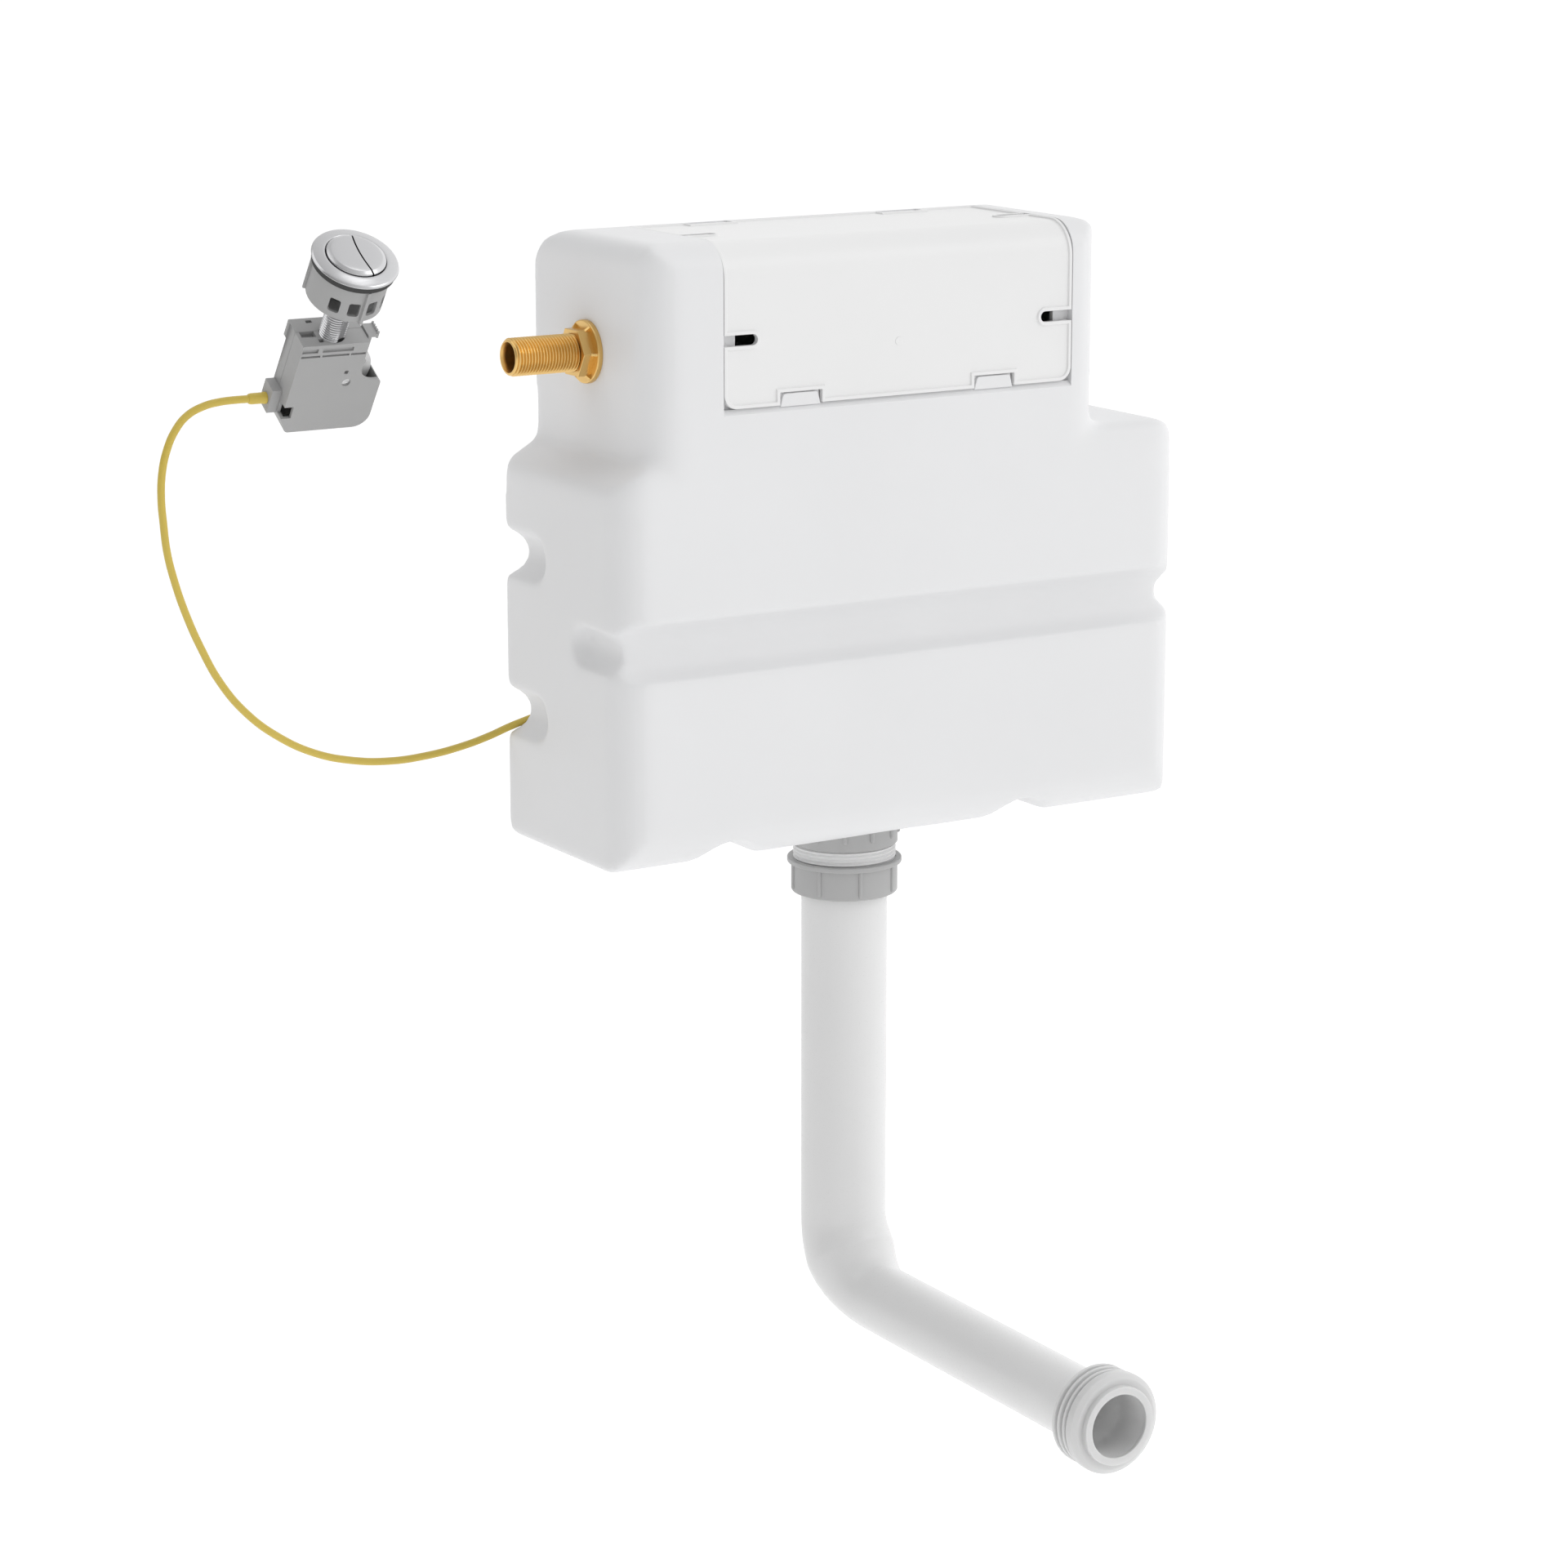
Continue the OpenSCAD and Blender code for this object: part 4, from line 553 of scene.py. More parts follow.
class CisternSizes(bpy.types.PropertyGroup):
    wall: FloatProperty(
        name="Tank wall", description="Thickness of the blow-moulded wall", default=0.0032, unit="LENGTH"
    )
    melt: FloatProperty(
        name="Melt size", description="Cell size with which the tank's form is fused before it is smoothed",
        default=0.0022, min=0.0015, max=0.005, unit="LENGTH",
    )
    melt_rounds: IntProperty(
        name="Melt rounds", description="How often the fused form is smoothed", default=7, min=2, max=60
    )
    bead: FloatProperty(
        name="Cover bead", description="Height of the bead round the cover", default=0.001, unit="LENGTH"
    )
    cable: FloatProperty(
        name="Cable", description="Outside diameter of the cable", default=0.0042, unit="LENGTH"
    )
    floor: FloatProperty(
        name="Floor", description="Height of the studio floor", default=SOLID_BOX[0].z - 0.3, unit="LENGTH"
    )


def tone(name, description, default):
    """A colour that a user may change."""
    return FloatVectorProperty(name=name, description=description, default=default, subtype="COLOR")


class CisternColours(bpy.types.PropertyGroup):
    tank: tone("Tank", "Blow-moulded white", (0.768, 0.77, 0.778))
    cover: tone("Cover", "Moulded white", (0.8, 0.8, 0.8))
    pipe: tone("Pipe", "Extruded white", (0.76, 0.76, 0.76))
    seal: tone("Seal", "White rubber", (0.66, 0.66, 0.66))
    grey: tone("Nuts", "Grey plastic of the nuts", (0.42, 0.42, 0.42))
    case: tone("Actuator", "Grey plastic of the actuator", (0.36, 0.36, 0.36))
    inner: tone("Valves", "Plastic of the valves inside", SLOT_COLOUR["inner_plastic"])
    brass: tone("Brass", "Inlet brass", (0.77, 0.51, 0.19))
    chrome: tone("Chrome", "Plated buttons", (0.55, 0.55, 0.56))
    steel: tone("Steel", "Springs, pins and wire", SLOT_COLOUR["steel"])
    cable: tone("Cable", "Yellow sheath", (0.6, 0.45, 0.075))


# The studio

CAMERA_SPOT = (-1.29730, -2.08806, 0.46359)
CAMERA_RIGHT, CAMERA_UP = Vector((0.849476, -0.527707, 0)), Vector((0.120594, 0.194125, 0.973536))
CAMERA_LENS = 98.06
# Strength of the sky straight ahead, and how it grows to the right and upwards
SKY, SKY_RIGHT, SKY_UP = 0.86, 0.52, -0.08
# Name, place, aim, size and power of each lamp
LAMPS = (
    ("key_softbox", (1.5, -1.9, 1.9), (0, 0, 0), 1.2, 9),
    ("top_strip", (0.2, -0.5, 1.7), (0, -0.2, 0), 0.5, 0.8),
    ("left_softbox", (-1.3, 0.3, 1.4), (-0.17, -0.05, 0.12), 1.4, 5),
)


class CISTERN_OT_stage(bpy.types.Operator):
    """Makes the camera, the pale floor and the soft light"""
    bl_idname = "cistern.stage"
    bl_label = "Stage"

    def execute(self, context):
        scene = context.scene
        idle()
        bpy.ops.object.camera_add()
        camera = bpy.context.object
        camera.name = "Camera"
        back = CAMERA_RIGHT.cross(CAMERA_UP)
        facing = Matrix((CAMERA_RIGHT, CAMERA_UP, back)).transposed().to_4x4()
        camera.matrix_world = Matrix.Translation(CAMERA_SPOT) @ facing
        camera.data.sensor_width = 36
        camera.data.lens = CAMERA_LENS
        camera.data.clip_end = 200
        camera.data.dof.use_dof = False
        scene.camera = camera

        idle()
        bpy.ops.mesh.primitive_plane_add(size=120, location=(0, 0, scene.cistern_sizes.floor))
        floor = named("floor")
        bpy.ops.object.mode_set(mode="EDIT")
        bpy.ops.mesh.subdivide(number_cuts=6)
        close_mesh()
        floor.data.materials.append(moulded(
            "Pale floor", (0.9, 0.9, 0.9), 0.004, (0.8, 0.9), 40, 4, 0.02,
            emission_color=(1, 1, 1, 1), emission_strength=0.3,
        ))

        world = bpy.data.worlds.new("Soft studio")
        scene.world = world
        world.use_nodes = True
        nodes, link = world.node_tree.nodes, world.node_tree.links.new
        where, split = nodes.new("ShaderNodeTexCoord"), nodes.new("ShaderNodeSeparateXYZ")
        link(where.outputs["Generated"], split.inputs[0])
        side, lift = nodes.new("ShaderNodeMath"), nodes.new("ShaderNodeMath")
        side.operation = lift.operation = "MULTIPLY_ADD"
        side.inputs[1].default_value, side.inputs[2].default_value = SKY_RIGHT, SKY
        lift.inputs[1].default_value = SKY_UP
        link(split.outputs["X"], side.inputs[0])
        link(split.outputs["Z"], lift.inputs[0])
        link(side.outputs[0], lift.inputs[2])
        link(lift.outputs[0], nodes["Background"].inputs["Strength"])
        nodes["Background"].inputs["Color"].default_value = (1, 1, 1, 1)

        for name, spot, aim, size, power in LAMPS:
            idle()
            bpy.ops.object.light_add(type="AREA", location=spot)
            light = bpy.context.object
            light.name = name
            light.rotation_euler = (Vector(aim) - Vector(spot)).to_track_quat("-Z", "Y").to_euler()
            light.data.size = size
            light.data.energy = power
        scene.view_settings.view_transform = "Standard"
        return {"FINISHED"}


# Cable

FREE_ROUTE = [
    (-348.9, -21.3, 144.1), (-356.9, -21.2, 144.1), (-364.9, -21, 143.7), (-374.5, -21, 142),
    (-384, -20.5, 137.5), (-391, -20.5, 130), (-396, -20.5, 120), (-399, -20.5, 108.5),
    (-400, -20.5, 95), (-399, -20, 81), (-397.5, -20, 66), (-393.5, -19.5, 49.5),
    (-387.5, -19, 31.5), (-379, -18, 12), (-368, -17.5, -8.5), (-353, -16.5, -27),
    (-334, -15.5, -42.5), (-312, -14.5, -54.5), (-289.5, -13.5, -61.5), (-266, -12.5, -65),
    (-242, -11.5, -65), (-218, -10, -62.5), (-200, -8.5, -59), (-187, -7.5, -55.5), (-174, -7, -52.5),
]
HELD_ROUTE = [
    (-174, -7, -52.5), (-160, -7, -49.5), (-140, -7, -47), (-115, -7, -45.5), (-60, -7, -45), (0, -7, -45),
    (46, -7.5, -45), (57, -8, -43), (66, -8.5, -38), (72, -9, -31), (75, -9, -22), (75, -9, -5),
    (75, -9, 60.5), (75, -9, 130.5), (75, -9, 164.5), (75.5, -10.5, 174.5), (77, -15, 183.5), (80, -24, 190.5),
    (85, -36, 193.5), (92, -51, 191.5), (99, -68, 185.5), (103, -84, 178.5), (103.5, -99, 173),
    (98.5, -111, 171.5), (88, -117.8, 171.5), (72, -116.5, 174), (54, -109.5, 180.5),
]


def cable_line(name, route, r):
    """A round cable through the points of a route, in millimetres."""
    idle()
    bpy.ops.curve.primitive_bezier_curve_add()
    line = bpy.context.object
    line.name = name
    line.data.name = name
    spline = line.data.splines[0]
    spline.bezier_points.add(len(route) - 2)
    for knot, spot in zip(spline.bezier_points, route):
        knot.co = Vector(spot) * MM
        knot.handle_left_type = knot.handle_right_type = "AUTO"
        knot.radius = 1
    line.data.dimensions = "3D"
    line.data.twist_mode = "MINIMUM"
    line.data.resolution_u = 8
    line.data.render_resolution_u = 8
    line.data.bevel_depth = r
    line.data.bevel_resolution = 5
    line.data.use_fill_caps = True
    return line


def route_length(route):
    """Length in metres of the smooth line through a route's points."""
    spots = [Vector(p) * MM for p in route]
    ends = [2 * spots[0] - spots[1], *spots, 2 * spots[-1] - spots[-2]]
    total, last = 0.0, spots[0]
    for a, b, c, d in zip(ends, ends[1:], ends[2:], ends[3:]):
        for k in range(1, 9):
            t = k / 8
            spot = 0.5 * (
                2 * b + (c - a) * t + (2 * a - 5 * b + 4 * c - d) * t * t + (3 * b - a - 3 * c + d) * t ** 3
            )
            total += (spot - last).length
            last = spot
    return total


class CISTERN_OT_cable(bpy.types.Operator):
    """Makes the yellow cable: its free loop, its held run and its ferrule"""
    bl_idname = "cistern.cable"
    bl_label = "Flush cable"

    def execute(self, context):
        size = context.scene.cistern_sizes.cable
        yellow = finish("cable_yellow")
        route = FREE_ROUTE[::-1]
        line = cable_line("cable_loop", route, size / 2)
        line.data.materials.append(yellow)
        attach(line, "tank")
        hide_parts("flush_cable")

        held = HELD_ROUTE + end_of_run()
        run = cable_line("cable_held_run", held, size / 2)
        hold(run)
        bpy.ops.object.convert(target="MESH")
        run = bpy.context.object
        settle(smooth(clean_tube(run), 60), Matrix(), "tank", yellow, "cable_yellow", "cable_run")

        ferrule = turn("cable_sleeve", [
            (0, -3.9), (2.3, -3.9), (2.3, -0.05), (3.3, -0.05), (3.3, 1.6), (3.05, 2), (3.05, 8.2), (2.9, 9.4),
            (2.4, 10.3), (2.15, 10.5), (0, 10.5),
        ], 48)
        soften(ferrule, 0.25)
        place = BUTTON @ Matrix.Translation((-0.0255, 0.0034, -0.1)) @ Matrix.Rotation(math.radians(-90), 4, "Y")
        settle(smooth(ferrule), place, "tank", yellow, "cable_yellow", "cable_ferrule")
        route_length(route)
        return {"FINISHED"}


def end_of_run():
    """The last points of the held run, down into the ferrule on the flush valve's yoke."""
    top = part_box("cable_end_ferrule")[1].z / MM
    return [
        (35, -97, top + 22), (20, -84, top + 25), (9, -74.5, top + 22), (2.5, -68.5, top + 14),
        (0, -66, top + 6), (0, -66, top),
    ]


def clean_tube(piece):
    """Merges the loose ends of a tube made from a curve."""
    open_mesh(piece)
    bpy.ops.mesh.remove_doubles(threshold=1e-6)
    bpy.ops.mesh.normals_make_consistent(inside=False)
    close_mesh()
    return piece


# Tank and cover

HALF_W, DEPTH, BASE, TOP = 187.5, 135, -6.5, 336.5
HEAD_X0, HEAD_X1 = -167, 129.5
OUTLET_Y, INLET_Z = -66, 274
GROOVE_R, GROOVE_OUT = 16.3, 3.3
HOLLOW_R = 23.89
# Middles of the snap notches along the cover
NOTCH_X = (-72.8, 54.3)


def groove_tools(face_y, side, height, reach, end_r):
    """Cutters of one stiffening groove and its returns along both ends."""
    y = face_y - side * GROOVE_OUT
    tools = [rod("groove", GROOVE_R, (-195, y, height), (195, y, height), 48)]
    for x in (-HALF_W - GROOVE_OUT, HALF_W + GROOVE_OUT):
        end_y = y + side * reach
        tools.append(rod("groove_return", end_r - 0.1, (x, y - side * 3, height), (x, end_y, height), 44))
        tools.append(ball("groove_end", end_r - 0.15, (x, end_y, height)))
    return tools


def rounded(form, side, x0, x1, z0, z1):
    """Keeps what a block shares with a side view and with a plan whose corners are rounded."""
    slack = 0.02
    plan = [
        (x0 - slack, -DEPTH - slack, 20), (x1 + slack, -DEPTH - slack, 20), (x1 + slack, slack, 10),
        (x0 - slack, slack, 10),
    ]
    return cut(
        form, prism("side", side, "X", -190, 190, 14), prism("plan", plan, "Z", z0, z1), how="INTERSECT"
    )


def tank_form():
    """The closed outer form: a low and a high block, rounded, joined and grooved."""
    low = prism("tank_body", [
        (-HALF_W, BASE, 6), (HALF_W, BASE, 6), (HALF_W, 218.5, 14), (-150, 218.5, 0), (-150, 228, 0),
        (-HALF_W, 207.5, 8),
    ], "Y", -DEPTH - 1, 1)
    rounded(low, [(-DEPTH, BASE, 25), (0, BASE, 16), (0, 222, 10), (-DEPTH, 222, 14)], -HALF_W, HALF_W, -9, 240)
    high = prism("tank_head", [
        (HEAD_X0, 100, 0), (HEAD_X1, 100, 0), (HEAD_X1, TOP, 12), (HEAD_X0, TOP, 12)
    ], "Y", -DEPTH - 1, 1)
    rounded(high, [(-DEPTH, 90, 0), (0, 90, 0), (0, TOP, 34), (-DEPTH, TOP, 18)], HEAD_X0, HEAD_X1, 98, 340)
    cut(low, high, how="UNION")
    for face_y, side, height, reach, end_r in (
        (-DEPTH, 1, 117, 46, 12), (0, -1, 67, 42, 13.6), (0, -1, 157, 42, 13.6),
    ):
        cut(low, *groove_tools(face_y, side, height, reach, end_r))
    for x in (-113, 83):
        z = 6 - HOLLOW_R
        cut(low, rod("base_hollow", HOLLOW_R, (x, -140, z), (x, 5, z), 96))
    cut(low, rod("outlet_pocket", 52, (0, OUTLET_Y, -20), (0, OUTLET_Y, -2), 96))
    return low


def melted(form, sizes):
    """Fuses the form and rounds it softly, more so at the shoulders."""
    apply(form, "REMESH", mode="VOXEL", voxel_size=sizes.melt, adaptivity=0)
    hold(form)
    bpy.ops.object.mode_set(mode="EDIT")
    choose(form, "VERT", lambda co: 190 < co.z < 248 and (co.x > 108 or co.x < -142))
    bpy.ops.object.vertex_group_add()
    bpy.ops.object.vertex_group_assign()
    close_mesh()
    group = form.vertex_groups[0].name
    apply(form, "SMOOTH", factor=0.5, iterations=sizes.melt_rounds)
    apply(form, "SMOOTH", factor=0.5, iterations=5 * sizes.melt_rounds, vertex_group=group)
    form.vertex_groups.clear()
    return apply(form, "DECIMATE", ratio=0.3)


def cover_recess(name, low, high, floor_y, floor_z, floor_r):
    """The bent space that the cover takes up, from its floor outwards."""
    tool = block(name, low, high)
    inner = prism("recess_floor", [
        (floor_y, 0, 0), (20, 0, 0), (20, floor_z, 0), (floor_y, floor_z, floor_r)
    ], "X", low[0] - 5, high[0] + 5, 12)
    return cut(tool, inner)


def cut_openings(tank, *tools):
    """Cuts openings through the form's skin and clears the faces that each cut leaves behind."""
    opened, shut = bpy.data.materials.new("opening"), bpy.data.materials.new("wall")
    tank.data.materials.append(shut)
    for tool in tools:
        tool.data.materials.append(opened)
        apply(tank, "BOOLEAN", operation="DIFFERENCE", object=tool, solver="EXACT", material_mode="TRANSFER")
        discard(tool)
    marked = [k for k, m in enumerate(tank.data.materials) if m == opened]
    open_mesh(tank)
    bpy.ops.mesh.select_mode(type="FACE")
    bpy.ops.mesh.select_all(action="DESELECT")
    mesh = bmesh.from_edit_mesh(tank.data)
    for face in mesh.faces:
        if face.material_index in marked:
            face.select_set(True)
    bmesh.update_edit_mesh(tank.data)
    bpy.ops.mesh.delete(type="FACE")
    close_mesh()
    for face in tank.data.polygons:
        face.material_index = 0
    tank.data.materials.clear()
    for leftover in (opened, shut):
        bpy.data.materials.remove(leftover)


class CISTERN_OT_tank(bpy.types.Operator):
    """Makes the blow-moulded tank with its recess, openings and snap tabs"""
    bl_idname = "cistern.tank"
    bl_label = "Tank"

    def execute(self, context):
        sizes = context.scene.cistern_sizes
        tank = melted(tank_form(), sizes)
        cut(tank, cover_recess("recess", (-122, -150, 246.1), (107, -33, 350), -130, 331.5, 13))
        cut(tank, prism("sill", [(-136, 242.4, 0), (-132.2, 246.15, 0), (-136, 246.15, 0)], "X", -121.9, 106.9))
        cut(tank, prism("channel", [
            (67, 67, 0), (83, 67, 0), (83, 262.5, 3), (67, 262.5, 3)
        ], "Y", -15, 5))

        cut_openings(
            tank,
            block("access", (-112, -150, 255.5), (97, -43, 350)),
            rod("inlet_hole", 10.78, (-175, OUTLET_Y, INLET_Z), (-160, OUTLET_Y, INLET_Z)),
            rod("outlet_hole", 30.3, (0, OUTLET_Y, -10), (0, OUTLET_Y, 8)),
            rod("gland_hole", 3.6, (75, -9, 258), (75, -9, 268), 32),
            *(rod("screw_hole", 3, (x, 5, 288.5), (x, -8, 288.5), 32) for x in (-80, 40)),
        )
        apply(
            tank, "SOLIDIFY", thickness=sizes.wall, offset=-1, use_even_offset=False, use_rim=True,
            use_quality_normals=True,
        )
        for x in NOTCH_X:
            front = prism("snap_tab", [
                (x - 12.9, 245.6, 0.5), (x + 12.9, 245.6, 0.5), (x + 11, 252.8, 2), (x - 11, 252.8, 2)
            ], "Y", -134.2, -129, 5)
            rear = prism("snap_tab", [
                (x - 12.9, -33, 0.5), (x - 11, -40.6, 2), (x + 11, -40.6, 2), (x + 12.9, -33, 0.5)
            ], "Z", 330, 335.7, 5)
            floor = block("notch_floor", (x - 13.1, -132.4, 245.7), (x + 13.1, -129, 253.4))
            for tab in (front, rear, floor):
                join(tank, soften(tab, 0.8, 3, 50))
        settle(smooth(tank, 38), TANK, "tank", finish("tank_white"), "tank_white", "tank_shell", "recess_frame")
        return {"FINISHED"}


def slot_tool(x, v, axis, start, end):
    """A cutter of a finger slot with round ends, through the front or the top of the cover."""
    return prism("finger_slot", [
        (x - 21, v - 3, 2.99), (x + 21, v - 3, 2.99), (x + 21, v + 3, 2.99), (x - 21, v + 3, 2.99)
    ], axis, start, end)


class CISTERN_OT_cover(bpy.types.Operator):
    """Makes the bent access cover with its bead, finger slots and notches"""
    bl_idname = "cistern.cover"
    bl_label = "Access cover"

    def execute(self, context):
        bead = context.scene.cistern_sizes.bead
        x0, x1, y0, y1, z0, z1, fold = -121.5, 106.5, -DEPTH, -34.6, 246.6, TOP, 20
        cover = block("access_cover_lid", (x0, y0, z0), (x1, y1, z1))
        open_mesh(cover)
        choose(cover, "EDGE", lambda a, b: abs(a.y - b.y) > 50 and max(a.z, b.z) < z0 + 1)
        bpy.ops.mesh.bevel(offset=8 * MM, segments=10, affect="EDGES")
        choose(cover, "EDGE", lambda a, b: min(a.z, b.z) > z1 - 1 and max(a.y, b.y) < y0 + 1)
        bpy.ops.mesh.bevel(offset=fold * MM, segments=16, affect="EDGES")
        close_mesh()
        for name, wall, past in (("under_lips", 4.7, 5), ("under_skin", 3.4, -4)):
            cut(cover, prism(name, [
                (y0 + wall, 200, 0), (20, 200, 0), (20, z1 - wall, 0), (y0 + wall, z1 - wall, fold - wall)
            ], "X", x0 - past, x1 + past, 16))
        for x in (x0, x1):
            cut(cover, slot_tool(x, 283.5, "Y", y0 - 2, y0 + 8), slot_tool(x, -90, "Z", z1 - 8, z1 + 2))
        for x in NOTCH_X:
            cut(
                cover, block("notch", (x - 13.5, y0 - 2, z0 - 2), (x + 13.5, y0 + 8, z0 + 7)),
                block("notch", (x - 13.5, y1 - 7, z1 - 8), (x + 13.5, y1 + 2, z1 + 2)),
            )
        clean(cover)
        open_mesh(cover)
        middle = Vector((0, y0 + fold, z1 - fold))

        def skin(spot, normal):
            """True on the outside of the bent sheet."""
            if abs(normal.x) > 0.3:
                return False
            if spot.y < y0 + 0.05 or spot.z > z1 - 0.05:
                return True
            out = spot - middle
            return out.y < 0 and out.z > 0 and math.hypot(out.y, out.z) > fold - 0.5

        choose(cover, "FACE", skin)
        bpy.ops.mesh.inset(thickness=1.8 * MM, depth=0, use_boundary=True, use_even_offset=True)
        bpy.ops.mesh.inset(thickness=0.35 * MM, depth=-bead, use_boundary=True, use_even_offset=True)
        close_mesh()
        soften(cover, 0.42, 3, 40)
        sunk = y0 + bead / MM
        mark = rod("gate_mark", 2.4, (-9, sunk + 0.4, 276.3), (-9, sunk - 0.3, 276.3), 40)
        join(cover, soften(mark, 0.22, 3, 40))
        settle(smooth(cover, 30), TANK, "cover", finish("cover_white"), "cover_white", "access_cover")
        return {"FINISHED"}


# Inlet

class CISTERN_OT_inlet(bpy.types.Operator):
    """Makes the threaded brass inlet, its flanged nut and its washer"""
    bl_idname = "cistern.inlet"
    bl_label = "Inlet"

    def execute(self, context):
        brass = finish("brass")
        shank = threaded_bar("brass_shank", 10.4775, 1.1, 1.814, 1, 47.9, 72)
        tip = turn("tip", [(0, 47.4), (9.35, 47.4), (9.9, 47.9), (9.7, 48.5), (9.2, 49), (0, 49)])
        root = turn("root", [
            (0, 1.2), (9.35, 1.2), (9.35, -5.7), (15.9775, -5.7), (15.9775, -9.7), (8.9, -9.7), (8.9, -19.7), (0, -19.7)
        ])
        cut(shank, soften(tip, 0.25), soften(root, 0.4), how="UNION")
        cut(shank, turn("bore", [(0, 50), (8.7, 50), (8.1, 48.2), (7.3, 46), (7.3, -20.5), (0, -20.5)], 72))
        settle(smooth(shank, 40), INLET, "tank", brass, "brass", "inlet_shank")

        nut = turn("brass_back_nut", [(9, 0), (17.4, 0), (17.4, 2.6), (16.9, 3), (9, 3)])
        soften(nut, 0.3)
        across_flats = 25
        idle()
        bpy.ops.mesh.primitive_cylinder_add(
            vertices=6, radius=across_flats / 2 / math.cos(math.pi / 6) * MM, depth=9 * MM, location=(0, 0, 5.5 * MM)
        )
        hexagon = named("hexagon")
        fix_place()
        cut(nut, soften(hexagon, 0.35, 3), how="UNION")
        web = prism("web", [
            (10, 2.5, 0), (16.7, 2.5, 0), (16.7, 3.3, 0), (14, 5.8, 0.6), (10, 5.8, 0)
        ], "Y", -0.8, 0.8, 4)
        round_copies(soften(web, 0.2), 6)
        cut(nut, turned_to(web, 30), how="UNION")
        cut(nut, rod("bore", 10.58, (0, 0, -2), (0, 0, 12), 72))
        settle(smooth(nut, 35), INLET, "tank", brass, "brass", "inlet_back_nut")

        washer = turn("inlet_washer_ring", [(10.58, -5.7), (15.98, -5.7), (15.98, -3.2), (10.58, -3.2)], 72)
        settle(smooth(soften(washer, 0.4, 3)), INLET, "tank", finish("rubber_black"), "rubber_black", "inlet_washer")
        return {"FINISHED"}


# Outlet and flush pipe

NUT_R, NUT_BORE, RIB_AT = 30.8, 29.9, 30.9


def ribbed_nut(name, z0, height, flange, flange_r, ribs, first, rib_r, rib_low):
    """A grey nut with a flange at its top and rounded ribs on its side, the first at an angle in degrees."""
    z1, neck, inside = z0 + height, z0 + height - flange, NUT_BORE - 2
    nut = turn(name, [
        (inside, z0), (NUT_R - 0.6, z0), (NUT_R, z0 + 1), (NUT_R, neck), (flange_r, neck), (flange_r, z1), (inside, z1),
    ], 120)
    soften(nut, 0.7, 3)
    rib = rod("rib", rib_r, (RIB_AT, 0, rib_low), (RIB_AT, 0, neck + 0.6), 20)
    cut(rib, ball("rib_end", rib_r - 0.01, (RIB_AT, 0, rib_low)), how="UNION")
    round_copies(rib, ribs)
    return cut(nut, turned_to(rib, first), how="UNION")


class CISTERN_OT_outlet(bpy.types.Operator):
    """Makes the flush valve's threaded base and the two grey nuts"""
    bl_idname = "cistern.outlet"
    bl_label = "Outlet"

    def execute(self, context):
        grey = finish("grey_plastic")
        back = ribbed_nut("outlet_grey_nut", -22, 20, 4, 33.4, 12, 28.4, 1.4, -15.5)
        cut(back, rod("bore", NUT_BORE, (0, 0, -30), (0, 0, 5), 120))
        settle(smooth(back), OUTLET, "tank", grey, "grey_plastic", "outlet_back_nut")
        coupling = ribbed_nut("coupling_grey_nut", -50.8, 20.2, 3, 33.2, 8, 30, 1.1, -47.8)
        cut(
            coupling, rod("bore", NUT_BORE, (0, 0, -48.2), (0, 0, -20), 120),
            rod("pipe_way", 25.6, (0, 0, -60), (0, 0, -40), 120),
        )
        settle(smooth(coupling), OUTLET, "tank", grey, "grey_plastic", "coupling_nut")

        tail = threaded_bar("outlet_threaded_base", 29.8, 1.3, 2.309, -44.2, -1.5, 120)
        flange = turn("flange", [
            (0, -1.7), (28.45, -1.7), (28.45, 6.2), (42.5, 6.2), (42.5, 10.2), (26, 10.2), (24, 13.2), (0, 13.2)
        ], 120)
        cut(tail, soften(flange, 0.4), how="UNION")
        cut(tail, turn("way", [
            (0, -50), (25.4, -50), (25.4, -16.2), (21, -16.2), (21, 20), (0, 20)
        ], 120))
        settle(smooth(tail, 40), OUTLET, "tank", finish("inner_white"), "white_plastic", "flush_valve_base")
        return {"FINISHED"}


